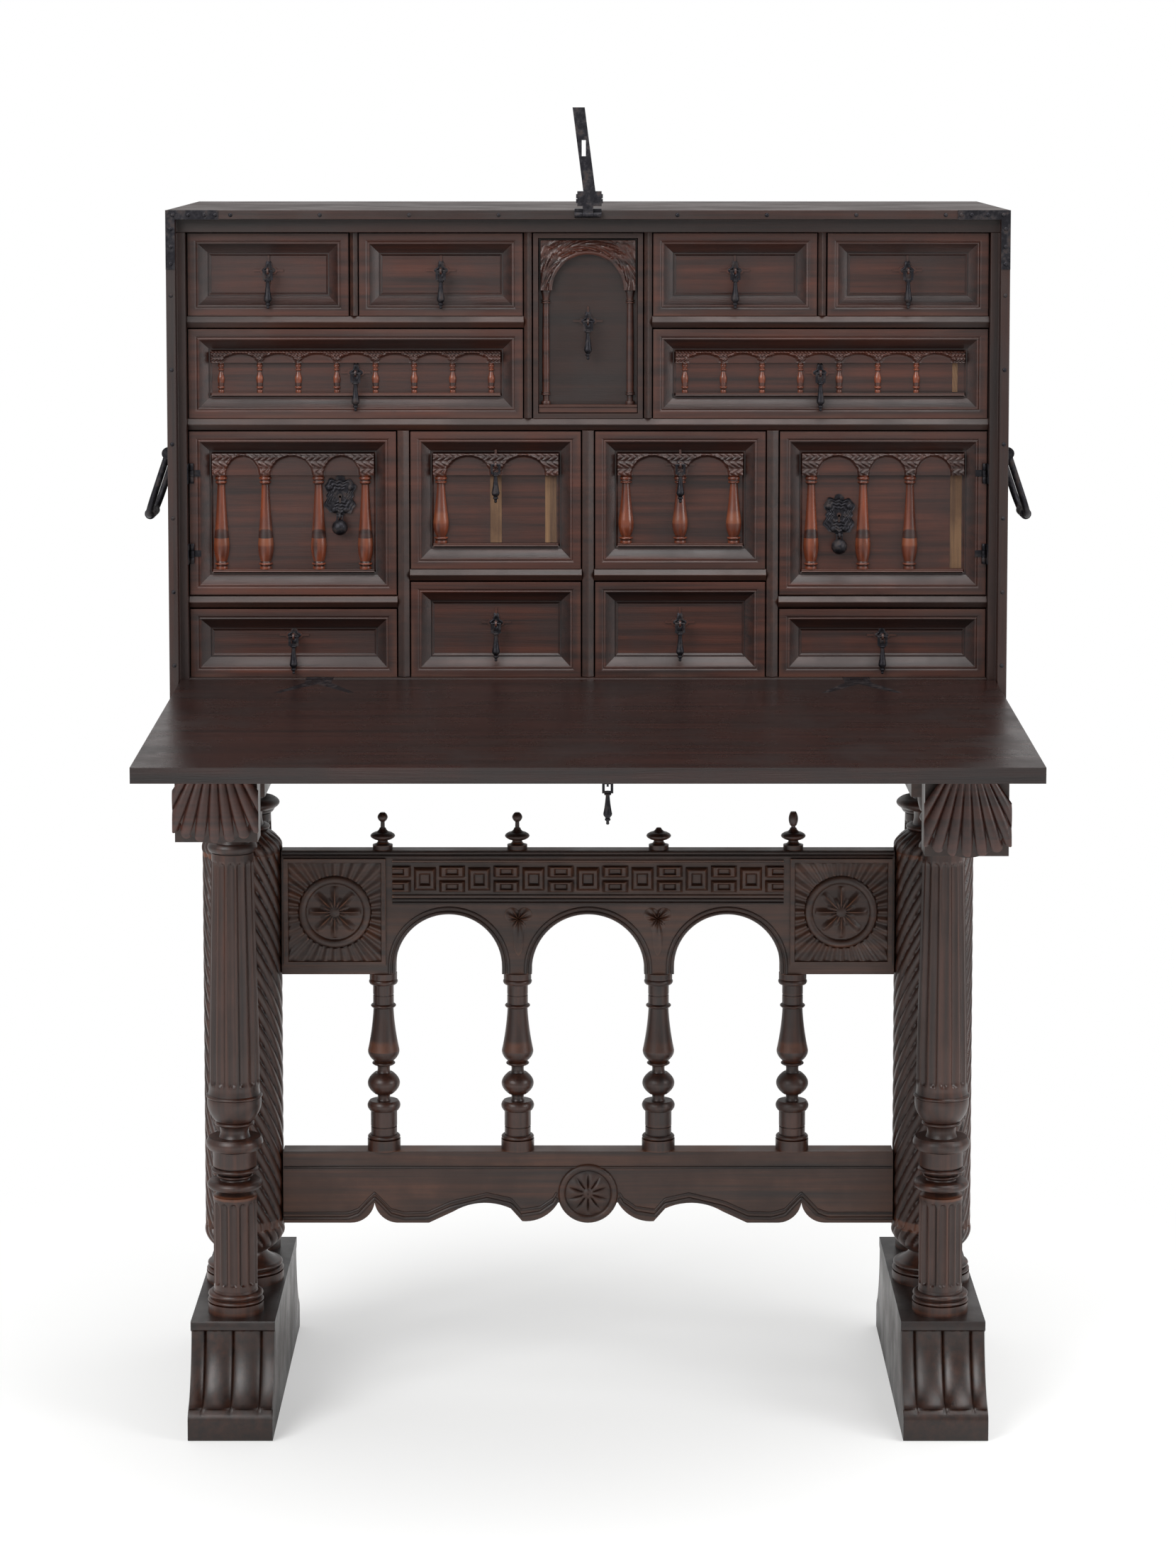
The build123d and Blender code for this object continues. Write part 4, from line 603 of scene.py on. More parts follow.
@dataclass
class Front:
    """The moulded front of one drawer or door, with its carved trim and plate."""

    name: str
    body: str
    x_span: Span
    z_span: Span
    looks: Looks
    balusters: Sequence[float] = ()
    scars: Sequence[float] = ()
    frieze: float = 0.0
    posts: Sequence[float] = ()
    radius: float = 9.0

    @property
    def field(self) -> tuple[Span, Span]:
        """The sunk field inside the frame."""
        f = FRAME_WIDTH
        return (self.x_span[0] + f, self.x_span[1] - f), (self.z_span[0] + f, self.z_span[1] - f)

    def mouldings(self) -> None:
        """Bead, sloping band and fillet of the mitred frame."""
        shape = Shape()
        mitred(shape, self.x_span, self.z_span, FRAME_SECTION)
        shape.build(f"{self.name}_mouldings", self.looks.drawer, self.body, 20.0)

    def frieze_relief(self, x: np.ndarray, z: np.ndarray) -> np.ndarray:
        """Height of the frieze: leafy spandrels that stand round an arch between each two posts.

        q is 1 on the arch's curve, an ellipse as wide as the bay less the posts' caps and as high as
        the frieze less its crown. Inside it the wood lies at 6.2 mm; outside stand a rounded band and
        leaves, which are crossed waves in x and z.
        """
        (left, right), (_, high) = self.field
        places = left + (right - left) * np.array(self.posts)
        bay = np.clip(np.searchsorted(places, x) - 1, 0, len(places) - 2)
        near, far = places[bay], places[bay + 1]
        wide = (far - near) / 2 - self.radius * 0.75
        tall = self.frieze - 3.0
        u, w = x - (near + far) / 2, z - (high - self.frieze)
        outside = (x < places[0]) | (x > places[-1])
        q = np.where(outside, 2.0, np.hypot(u / wide, w / tall))
        stand = 1 / (1 + np.exp(-np.clip((q - 1.0) * tall / 0.5, -30, 30)))
        band = 1.3 * np.exp(-(((q - 1.0) * tall - 1.8) / 1.1) ** 2)
        wave = self.frieze / 27.0
        leaf = np.abs(np.sin(x / (2.6 * wave) + 1.2 * np.sin(z / (2.1 * wave))))
        leaf = leaf * np.abs(np.cos(z / (3.1 * wave)))
        return 6.2 + stand * (2.2 + 2.0 * leaf) + band + 0.5 * (high - z < 1.6)

    def arcade(self) -> None:
        """Frieze with its small arches, the plinth and the half balusters that remain."""
        (left, right), (low, high) = self.field
        shape = Shape()
        slab(shape, (left, right), (high - self.frieze, high), FIELD_DEPTH, self.frieze_relief,
             (int((right - left) * 1.6), int(self.frieze * 2.2)))
        slab(shape, (left, right), (low, low + 3.2), FIELD_DEPTH, lambda x, z: 6.5 - 0.5 * (z - low), (4, 6))
        shape.build(f"{self.name}_frieze", self.looks.drawer, self.body, 50.0)
        posts = Shape()
        r = self.radius
        rows = [
            (r * 0.80, r * 0.80, 3.5, 0.2), (r * 0.62, r * 0.62, 2.0, -0.4), (r * 0.86, r * 0.86, 2.6, 0.9),
            (r * 0.6, r * 0.66, 2.0, 0), (r * 0.72, r * 1.04, (high - low) * 0.17, r * 0.16),
            (r * 1.04, r * 0.50, None, -r * 0.05), (r * 0.72, r * 0.72, 2.4, 0.8),
            (r * 0.55, r * 0.6, 2.2, 0), (r * 0.80, r * 0.80, 3.0, 0.5), (r * 0.7, r * 0.85, 3.0, 0),
        ]
        span = (low + 3.1, high - self.frieze + 0.4)
        for share in self.balusters:
            centre = (left + (right - left) * share, CASE_FRONT + FIELD_DEPTH)
            turned(posts, centre, profile_of(rows, span), 24, arc=(math.pi, 2 * math.pi))
        if self.balusters:
            posts.build(f"{self.name}_balusters", self.looks.trim, self.body)
        marks = Shape()
        for share in self.scars:
            x = left + (right - left) * share
            half = r * 0.8
            slab(marks, (max(x - half, left), min(x + half, right)), (low + 4, high - self.frieze - 1),
                 FIELD_DEPTH, lambda a, b: 0.25 + 0.35 * np.abs(np.sin(b / 5.0 + a)), (12, 40))
        if self.scars:
            marks.build(f"{self.name}_scars", self.looks.scar, self.body)

    def plate(self, x: float, z: float, depth: float) -> None:
        """Four-lobed iron plate behind a pull, longer up and down.

        Its rim is 6.6 mm plus lobes of 2.9 mm, and 3.3 mm more up and down.
        """
        turn = np.linspace(0, 2 * math.pi, 96, endpoint=False)
        rim = 6.6 + 2.9 * np.abs(np.cos(2 * turn)) ** 2 + 3.3 * np.abs(np.sin(turn)) ** 8
        shape = Shape()
        polar(shape, (x, z), depth, rim, lambda s, t: 2.2 - 0.9 * s**4 + 0.5 * np.cos(s * 9), rows=14)
        shape.build(f"{self.name}_plate", self.looks.iron, self.body)

    def build(self) -> None:
        """Makes the front's pieces."""
        self.mouldings()
        if self.frieze:
            self.arcade()


@dataclass
class Interior:
    """All the drawers and doors of the case."""

    looks: Looks

    def build(self) -> None:
        """Makes each front from the box of its CAD node."""
        row = [(11.5 + n * (359.5 - 23) / 7) / 359.5 for n in range(8)]
        arcades: tuple[tuple[str, float, float, Sequence[float], Sequence[int]], ...] = (
            ("drawer_long_left", 14.0, 4.1, row, ()),
            ("drawer_long_right", 14.0, 4.1, row, (7,)),
            ("drawer_arch_left", 27.0, 9.0, (0.06, 0.5, 0.94), (1, 2)),
            ("drawer_arch_right", 27.0, 9.0, (0.067, 0.5, 0.93), ()),
            ("door_left", 27.0, 9.0, (0.052, 0.326, 0.655, 0.945), ()),
            ("door_right", 27.0, 9.0, (0.058, 0.38, 0.67, 0.955), (3,)),
        )
        trims = {
            name: {
                "frieze": frieze, "radius": radius, "posts": posts,
                "balusters": [share for n, share in enumerate(posts) if n not in lost],
                "scars": [posts[n] for n in lost],
            }
            for name, frieze, radius, posts, lost in arcades
        }
        for name in [f"drawer_{n}" for n in DRAWERS if n != "niche"] + ["door_left", "door_right"]:
            low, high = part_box(name)
            x_span, z_span = (low.x / MM, high.x / MM), (low.z / MM, high.z / MM)
            front = Front(name, name, x_span, z_span, self.looks, **trims.get(name, {}))
            front.build()
            if name.startswith("drawer_"):
                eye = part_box(name.replace("drawer_", "pull_"))
                x, z = (eye[0].x + eye[1].x) / 2 / MM, eye[1].z / MM - 1.5
                depth = TRIM_DEPTH - 0.2 if name.startswith("drawer_arch") else FIELD_DEPTH
                front.plate(x, z, depth)
        self.niche()
        self.lock_plates()

    def niche(self) -> None:
        """Carved arch block, its moulded arch and the colonnettes of the middle drawer."""
        shape = Shape()
        top, foot, half, r = 1506.5, 1444.8, 58.7, 44.5
        turn = np.linspace(0.0, math.pi, 121)
        sideways, upwards = np.maximum(np.abs(np.cos(turn)), 1e-6), np.maximum(np.sin(turn), 1e-6)
        reach = np.minimum(half / sideways, (top - foot) / upwards)

        def leaves(s: np.ndarray, t: np.ndarray) -> np.ndarray:
            """Leaf scrolls: crossed waves in radius and angle, outside a rounded band round the arch."""
            out = (s * reach[None, :] - r) / 5.0
            band = np.where(out < 1, 1.4 * np.sin(np.clip(out, 0, 1) * math.pi), 0)
            wave = np.abs(np.sin(9 * t + 2.2 * np.sin(out * 1.9))) ** 0.7
            wave = wave * np.abs(np.sin(out * 1.35 + 0.5)) ** 0.6
            return 9.3 + band + np.where(out >= 1, 3.4 * wave - 0.8, 0)

        s = np.linspace(0, 1, 26)[:, None]
        radius = r + (reach[None, :] - r) * s
        share = radius / reach[None, :]
        depth = CASE_FRONT + FIELD_DEPTH - leaves(share, np.repeat(turn[None], 26, 0))
        face = np.stack([radius * np.cos(turn), depth, foot + radius * np.sin(turn)], axis=2)
        skirted(shape, face, FIELD_DEPTH)
        slab(shape, (-61, 61), (1293.0, 1302.2), FIELD_DEPTH, lambda x, z: 9.4 + 0.9 * (z > 1299), (3, 12))
        for side in (-1, 1):
            centre = (side * 52.5, CASE_FRONT + FIELD_DEPTH - 1)
            outline = profile_of(COLONNETTE, (1302, 1444.9))
            turned(shape, centre, outline, 28, arc=(math.pi, 2 * math.pi))
        shape.build("niche_arch", self.looks.drawer, "drawer_niche")
        plate = Front("niche", "drawer_niche", (-68, 68), (1286, 1515), self.looks)
        plate.plate(0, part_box("pull_niche")[1].z / MM - 1.5, FIELD_DEPTH)

    def lock_plates(self) -> None:
        """Heart-shaped scrolled lock plates of the doors, with bosses, a raised rim and a keyhole painted as
        a dark walnut patch of shade.
        """
        for side, x, z in ((Side.LEFT, -309.5, 1188.0), (Side.RIGHT, 313.5, 1164.0)):
            turn = np.linspace(0, 2 * math.pi, 144, endpoint=False)
            rim = 19.5 + 3.5 * np.abs(np.sin(turn)) ** 3 - 3.5 * np.cos(4 * turn + 0.2)
            rim += 1.3 * np.cos(12 * turn)
            shape = Shape()
            polar(shape, (x, z), FIELD_DEPTH - 1.4, rim,
                  lambda s, t: 0.9 + 0.8 * np.cos(s * 15) ** 2 * (s > 0.35) + 0.7 * (s > 0.9), rows=30)
            places = ((-13, 10), (13, 10), (-7, -18), (7, -18))
            bosses = [(x + u, CASE_FRONT + FIELD_DEPTH - 2.4, z + v) for u, v in places]
            domes(shape, bosses, 4.0, (0, -1, 0))
            shape.build(f"lock_plate_{side.label}", self.looks.iron, f"door_{side.label}")
            # painted shade: a dark walnut disc and slot laid on the plate stand in for the shaded keyhole
            # opening
            painted_hole_shade = Shape()
            depth = FIELD_DEPTH - 3.0
            polar(painted_hole_shade, (x, z), depth, np.full(24, 2.7), lambda s, t: np.full_like(s, 0.25), rows=3)
            slab(painted_hole_shade, (x - 1.3, x + 1.3), (z - 9, z), depth, lambda a, b: np.full_like(a, 0.25), (2, 2))
            painted_hole_shade.build(f"keyhole_{side.label}", self.looks.case, f"door_{side.label}")


# ---------------------------------------------------------------- the stand

FLUTED: Sequence[Element] = (
    (35.4, 35.4, 3, 0), (35.4, 35.4, 10, 0), (33.0, 33.0, 6.0, 2.6), (32.2, 32.2, 1.5, -0.8),
    (33.0, 33.0, 6.5, 2.0), (28.6, 27.9, 3, 0), (27.7, 27.7, 121, 0), (27.7, 19.0, 10, -2),
    (32.0, 32.0, 10, 3.2), (19.0, 19.0, 4, -1), (22.0, 22.0, 3, 1), (19.0, 19.0, 4, -1), (27.0, 27.0, 6, 3),
    (25.0, 25.0, 2, 0), (27.5, 27.5, 20, 0), (25.0, 25.0, 2, 0), (33.0, 33.0, 15, 3.2),
    (20.0, 20.0, 15, -2), (22.0, 22.0, 6, 3), (24.0, 34.0, 30, 4), (33.5, 33.5, 5, 2.4),
    (33.2, 26.4, None, 0), (24.5, 24.5, 2, 0), (28.8, 28.8, 11, 2.6), (22.0, 21.0, 26, -2),
    (27.5, 27.5, 12, 3.2), (24.0, 24.0, 3, -1), (30.0, 33.5, 18, 1), (33.8, 33.8, 8, 0),
)
SPIRAL: Sequence[Element] = (
    (50.5, 50.5, 12, 0), (47.5, 47.5, 6, 2.8), (46, 46, 1.5, -1), (46.5, 46.5, 6, 2.4),
    (44.0, 28.0, 15, -4), (31.0, 51.3, 34, 8), (51.3, 51.3, None, 0), (51.3, 33.0, 30, 8),
    (34.0, 34.0, 6, 2.4), (28.0, 28.0, 22, -2), (43.0, 43.0, 13, 6), (28.0, 28.0, 13, -2),
    (32.0, 34.0, 14, 0), (34.0, 34.0, 7.5, 0),
)
BALUSTER: Sequence[Element] = (
    (21.5, 21.5, 14, 0), (19.0, 19.0, 6, 2.2), (17.0, 17.0, 10, 0), (15.5, 15.5, 2, 0), (17.2, 17.2, 20, 0),
    (18.5, 18.5, 13, 3), (9.0, 9.0, 9, -1), (12.0, 12.0, 28, 9), (9.0, 9.0, 10, -1), (12.0, 12.0, 5, 3),
    (12.0, 20.5, 15, 2.5), (20.5, 13.0, None, -1.2), (14.0, 14.0, 5, 2.4), (13.5, 13.5, 11, 0),
    (12.5, 12.5, 2, 0), (13.5, 13.5, 13, 0), (17.0, 17.0, 7, 1.8), (18.0, 18.0, 8, 0),
)
STUB: tuple[Element, ...] = ((13, 13, 6, 0), (11, 8, 2, 0), (8, 8, 5, -1.5), (11, 11, 9, 5), (9, 4, 6, -1))
BUD: tuple[Element, ...] = ((2.8, 2.6, 8, 0), (3, 3, None, 3.6))
FINIALS: tuple[tuple[float, tuple[Element, ...], float], ...] = (
    (-267.0, (*STUB, *BUD), 48.0),
    (-92.0, (*STUB, *BUD), 48.0),
    (92.0, (*STUB[:4], (9.0, 3.0, None, -1.0)), 28.0),
    (267.0, (*STUB, (2.6, 3.0, 3.0, 0.0), (4.0, 3.5, None, 2.4)), 49.0),
)


def flutes(number: int, depth: float, spans: Sequence[Span]) -> Relief:
    """Cut of upright flutes with rounded ends.

    Args:
        number: flutes round the shaft.
        depth: how deep each is.
        spans: lowest and highest z of each run of flutes.

    Returns:
        A function of z and angle that gives what is taken off the radius.
    """

    def cut(z: np.ndarray, turn: np.ndarray) -> np.ndarray:
        """Depth of the flutes: a half round across each, drawn in over 4 mm at both ends."""
        u = np.abs((turn * number / (2 * math.pi)) % 1 - 0.5) * 2 / 0.74
        taken = np.zeros_like(z)
        for low, high in spans:
            end = np.clip(np.minimum(z - low, high - z) / 4.0, 0, 1)
            width = np.sqrt(np.clip(1 - (1 - end) ** 2, 0, 1))
            inside = np.clip(1 - (u / np.maximum(width, 1e-3)) ** 2, 0, 1)
            taken = np.maximum(taken, depth * np.sqrt(inside) * (end > 0))
        return taken

    return cut


def strands(side: Side, number: int = 20, lead: float = 480.0, depth: float = 6.0) -> Relief:
    """Cut of a rope column: round strands that climb one turn in each lead, mirrored side to side."""

    def cut(z: np.ndarray, turn: np.ndarray) -> np.ndarray:
        """Depth of the grooves: none along the middle of a strand and all of it between two."""
        phase = turn - side.value * 2 * math.pi * z / lead
        u = np.abs((phase * number / (2 * math.pi)) % 1 - 0.5) * 2
        edge = np.clip(np.minimum(z - 187.0, 737.0 - z) / 14.0, 0, 1)
        return depth * (1 - np.sqrt(np.clip(1 - u**2.4, 0, 1))) * edge

    return cut


@dataclass
class Trestle:
    """One end of the stand: foot, three columns and the shell under the fall."""

    side: Side
    looks: Looks

    @property
    def x(self) -> float:
        """Middle of the trestle along X."""
        return self.side.value * TRESTLE_X

    def columns(self) -> None:
        """Two fluted columns and the rope column between them."""
        fine = profile_of(FLUTED, (FOOT_TOP, HEAD_BOTTOM), 7)
        fine = with_rows(fine, np.linspace(428, 730, 120), 427.5, 730.5)
        fine = with_rows(fine, np.linspace(170, 288, 60), 169.5, 288.5)
        cut = flutes(14, 3.2, ((436, 722), (176, 283)))
        for place, shift in (("front", -COLUMN_SPACING), ("rear", COLUMN_SPACING)):
            shape = Shape()
            turned(shape, (self.x, CASE_FRONT + MID_DEPTH + shift), fine, 128, cut)
            piece = shape.build(f"{place}_column_{self.side.label}", self.looks.stand, FIXED_BODY, 50.0)
            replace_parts(piece, f"{place}_columns")
        rope = profile_of(SPIRAL, (FOOT_TOP, HEAD_BOTTOM), 8)
        rope = with_rows(rope, np.linspace(222, 704, 200), 221, 705)
        shape = Shape()
        turned(shape, (self.x, CASE_FRONT + MID_DEPTH), rope, 224, strands(self.side))
        piece = shape.build(f"rope_column_{self.side.label}", self.looks.stand, FIXED_BODY, 60.0)
        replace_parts(piece, "spiral_columns")

    def foot(self) -> None:
        """Sledge foot whose toes are cut into reeds over a stepped base.

        A closed outline in Y and Z is carried across X; on the toes it stands out by the reed
        height, 7.5 * sqrt(1 - reed^2) - 1.5, where reed runs from -1 to 1 across each of two whole
        and two half reeds.
        """
        t = np.linspace(0, 1, 26)
        flat, toe = 192.0, 50.0
        bulge_y = flat - 8 + (toe * 0.82 + 6) * t**1.6
        bulge_z = 125 - (125 - 40) * (1 - (1 - t) ** 1.35)
        ledge = [
            (flat, 139.0, 0.0), (flat + 1.5, 137.0, 0.0), (flat + 1.5, 128.0, 0.0),
            (flat - 2.0, 125.5, 0.0),
        ]
        curve = [(y, z, 1.0) for y, z in zip(bulge_y, bulge_z)]
        base = [
            (flat + 41, 37.5, 0.3), (flat + 46, 34.0, 0.0), (flat + 49, 30.0, 0.0),
            (flat + 50, 26.0, 0.0), (flat + 50, 2.0, 0.0), (flat + 48.5, 0.0, 0.0),
        ]
        front = [(-y, z, -w) for y, z, w in ledge + curve + base]
        rear = [(y, z, w) for y, z, w in ledge + curve + base][::-1]
        loop = np.array(front + rear)
        u = np.linspace(-1, 1, 97)
        reed = (u * 1.5) % 1 * 2 - 1
        height = 7.5 * np.sqrt(np.clip(1 - reed**2, 0, 1)) - 1.5
        edge = np.clip((1 - np.abs(u)) / 0.02, 0, 1)
        push = loop[:, 2][:, None] * (height * edge)[None, :]
        x = np.broadcast_to(self.x + u[None, :] * 53.4, push.shape)
        y = CASE_FRONT + MID_DEPTH + loop[:, 0][:, None] + push
        z = np.broadcast_to(loop[:, 1][:, None], push.shape)
        points = np.stack([x, y, z], axis=2)
        shape = Shape()
        shape.lattice(points, wrap_u=True, flip=True)
        shape.cap(points[:, 0], flip=False)
        shape.cap(points[:, -1], flip=True)
        piece = shape.build(f"foot_{self.side.label}_carved", self.looks.foot, FIXED_BODY, 40.0)
        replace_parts(piece, f"foot_{self.side.label}")

    def shell(self) -> None:
        """Scallop shell on the block under the fall.

        Nine ribs fan out from the top; each has a lobe of the rim, and they swell to 6.4 mm.
        """
        body = f"loper_{self.side.label}"
        low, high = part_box(body)
        front = low.y / MM - CASE_FRONT
        ribs, half = 9, math.radians(34)
        turn = np.linspace(-half, half, ribs * 14 + 1)
        across = (turn + half) / (2 * half) * ribs
        lobe = np.sqrt(np.clip(1 - (2 * (across % 1) - 1) ** 2, 0, 1))
        apex = high.z / MM - 8
        rim = 126.0 + 11.0 * lobe + 4.0 * np.cos(turn * 2.6)
        rim = np.minimum(rim, 52.0 / np.maximum(np.abs(np.sin(turn)), 1e-3))

        def height(s: np.ndarray, t: np.ndarray) -> np.ndarray:
            """Swell of the shell, with round ribs that grow towards a rim that drops off."""
            rib = np.sqrt(np.clip(1 - (2 * (((t + half) / (2 * half) * ribs) % 1) - 1) ** 2, 0, 1))
            return 0.6 + 6.0 * np.sin(np.clip(s, 0, 1) * 2.2) + (1.2 + 5.2 * s) * rib - 4.0 * s**8

        shape = Shape()
        polar(shape, (self.x, apex), front + 7.0, rim, height, 0.06, 50, turn - math.pi / 2)
        curls = [(self.x + s * 30, CASE_FRONT + front + 3.5, apex - 16) for s in (-1, 1)]
        domes(shape, curls, 13.0, (0, -1, 0))
        domes(shape, [(x + np.sign(x - self.x) * 1.0, y - 5.0, z) for x, y, z in curls], 7.0, (0, -1, 0))
        domes(shape, [(self.x, CASE_FRONT + front + 4.0, apex - 4)], 12.0, (0, -1, 0))
        shape.build(f"shell_{self.side.label}", self.looks.drawer, body, 50.0)

    def build(self) -> None:
        """Makes the whole trestle."""
        self.columns()
        self.foot()
        self.shell()


def with_rows(profile: np.ndarray, z: np.ndarray, low: float, high: float) -> np.ndarray:
    """Replaces the rows of a profile between two heights by finer ones on the same outline."""
    kept_low, kept_high = profile[profile[:, 1] <= low], profile[profile[:, 1] >= high]
    inside = profile[(profile[:, 1] > low - 2) & (profile[:, 1] < high + 2)]
    radius = np.interp(z, inside[:, 1], inside[:, 0])
    return np.concatenate([kept_low, np.stack([radius, z], axis=1), kept_high])


@dataclass
class Rails:
    """The arcaded rail and the stretcher between the trestles, with what is turned between them."""

    looks: Looks
    rose_radius: float = 39.0

    def turnings(self) -> None:
        """Balusters and finials."""
        posts, tips = Shape(), Shape()
        for x, outline, tall in FINIALS:
            centre = (x, CASE_FRONT + MID_DEPTH)
            turned(posts, centre, profile_of(BALUSTER, (STRETCHER_TOP, RAIL_FOOT)), 48)
            turned(tips, centre, profile_of(outline, (RAIL_TOP, RAIL_TOP + tall)), 32)
        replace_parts(posts.build("turned_balusters", self.looks.stand, FIXED_BODY), "balusters")
        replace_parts(tips.build("turned_finials", self.looks.stand, FIXED_BODY), "finials")

    @staticmethod
    def rosette(x: np.ndarray, z: np.ndarray) -> np.ndarray:
        """Rose in a ring with rays: height as a function of the radius r and angle t round the middle.

        Eight petals lie inside r = 34 and eight small ones inside 20; a rounded ring spans 37 to 47,
        and 32 rays run from it to a border 5 to 6 mm wide.
        """
        r, t = np.hypot(x, z), np.arctan2(z, x)
        pointed = np.clip(1 - np.abs(np.sin(4 * t)) * (0.5 + r / 33), 0, 1)
        petal = 5.6 * pointed * np.sin(np.clip(r / 34, 0, 1) * math.pi) ** 0.6
        small = 4.0 * np.abs(np.sin(4 * t)) ** 1.6 * np.sin(np.clip(r / 20, 0, 1) * math.pi) * (r < 20)
        boss = 4.5 * np.sqrt(np.clip(1 - (r / 8) ** 2, 0, 1))
        ring = 3.8 * np.sqrt(np.clip(1 - ((r - 42) / 5) ** 2, 0, 1))
        rays = 2.6 * (0.5 + 0.5 * np.cos(32 * t)) * (r > 48)
        border = 4.2 * ((np.abs(x) > 60) | (np.abs(z) > 65))
        return 0.4 + np.maximum.reduce([petal, small, boss, ring, rays, border])

    @staticmethod
    def blocks(x: np.ndarray, z: np.ndarray) -> np.ndarray:
        """Frieze of square blocks 70.6 mm apart, parted by pairs of flatter ones, one above the other.

        d is 1 on a block's edge and 0 in its middle; the edge is bevelled and the middle is sunk.
        """
        u = (x + 35.3) % 70.6 - 35.3
        v = z - 672.6
        w = np.abs(u) - 35.3

        def block(d: np.ndarray) -> np.ndarray:
            """Bevelled block with a sunk middle."""
            return np.clip((1 - d) * 4.5, 0, 1) - 0.75 * np.clip((0.52 - d) * 7.0, 0, 1)

        big = block(np.maximum(np.abs(u) / 14.5, np.abs(v) / 15.5))
        small = block(np.maximum(np.abs(w) / 17.0, np.abs(np.abs(v) - 9.8) / 7.6))
        border = 0.5 * (np.abs(v) > 21.5)
        return 0.4 + 5.4 * np.maximum.reduce([big, small, border])

    def carvings(self) -> None:
        """Rose panels, the frieze, the arches with their mouldings and the spandrels."""
        shape = Shape()
        for side in (-1, 1):
            middle = side * 329.0
            slab(shape, (middle - 66, middle + 66), (559, 699), RAIL_FACE,
                 lambda x, z, m=middle: self.rosette(x - m, z - 629.0), (150, 150))
        slab(shape, (-254, 254), (648, 697), RAIL_FACE, self.blocks, (420, 50))
        shape.build("rail_reliefs", self.looks.rail, FIXED_BODY, 30.0)
        beads = Shape()
        for x, r in ((-181.0, 69.0), (0.0, 73.0), (181.0, 69.0)):
            turn = np.linspace(math.pi, 0, 60)
            middle = 625.5 - r
            for grow, thick in ((2.6, 2.4), (8.4, 2.0)):
                arch = np.stack([x + (r + grow) * np.cos(turn), np.full(60, CASE_FRONT + RAIL_FACE - 0.4),
                                 middle + (r + grow) * np.sin(turn)], axis=1)
                near, far = ([[x + s * (r + grow), arch[0, 1], 547.5]] for s in (-1, 1))
                tube(beads, np.concatenate([near, arch, far]), thick)
        for z, thick in ((640.5, 1.8), (645.0, 2.6), (702.0, 2.4), (707.0, 2.0)):
            reach = 254 if z < 650 else 397
            depth = np.full(5, CASE_FRONT + RAIL_FACE - 0.3)
            tube(beads, np.stack([np.linspace(-reach, reach, 5), depth, np.full(5, z)], axis=1), thick)
        for x in (-90.5, 90.5):
            turn = np.linspace(0, 2 * math.pi, 80, endpoint=False)
            rim = 10.0 + 9.0 * np.abs(np.sin(1.5 * (turn - math.pi / 2)))
            rim += 30.0 * np.exp(-(((turn - 1.5 * math.pi) / 0.22) ** 2))
            polar(beads, (x, 620.0), RAIL_FACE, rim,
                  lambda s, t: 0.5 + 4.6 * np.cos(s * 1.45) * (0.6 + 0.4 * np.cos(9 * t)), rows=16)
        beads.build("rail_mouldings", self.looks.rail, FIXED_BODY)

    def apron(self) -> None:
        """Carved border that follows the lower edge of the stretcher, and its middle rose."""
        shape = Shape()
        key = np.array([
            (398, 223), (314, 223), (300, 228), (286, 243), (279, 250), (272, 243), (258, 228), (240, 223),
            (209, 224), (178, 238), (132, 249), (101, 242), (88, 227), (62, 231), (45, 243), (41, 250),
        ], float)
        t = np.linspace(0, len(key) - 1, 160)
        x = np.interp(t, np.arange(len(key)), key[:, 0])
        z = np.interp(t, np.arange(len(key)), key[:, 1])
        y = np.full_like(x, CASE_FRONT + STRETCHER_FACE)
        for side in (-1, 1):
            for rise, thick in ((0.0, 2.4), (7.0, 1.6)):
                tube(shape, np.stack([side * x, y, z + rise], axis=1), thick)
        line = np.stack([np.linspace(-397, 397, 9), np.full(9, y[0]), np.full(9, 291.0)], axis=1)
        tube(shape, line, 1.8)

        def rose(s: np.ndarray, t: np.ndarray) -> np.ndarray:
            """Boss, ten petals and a rounded ring, by share of the radius."""
            petal = 3.6 * np.abs(np.cos(5 * t)) ** 0.6
            petal = petal * np.sin(np.clip(s / 0.74, 0, 1) * math.pi) * (s < 0.74)
            ring = 4.2 * np.sqrt(np.clip(1 - ((s - 0.88) / 0.12) ** 2, 0, 1))
            boss = 4.5 * np.sqrt(np.clip(1 - (s / 0.2) ** 2, 0, 1))
            return 0.4 + np.maximum.reduce([petal, ring, boss])

        polar(shape, (0.0, 256.5), STRETCHER_FACE, np.full(120, self.rose_radius), rose, rows=48)
        shape.build("stretcher_carving", self.looks.rail, FIXED_BODY)

    def build(self) -> None:
        """Makes both rails' pieces."""
        self.turnings()
        self.carvings()
        self.apron()


# ---------------------------------------------------------------- the room


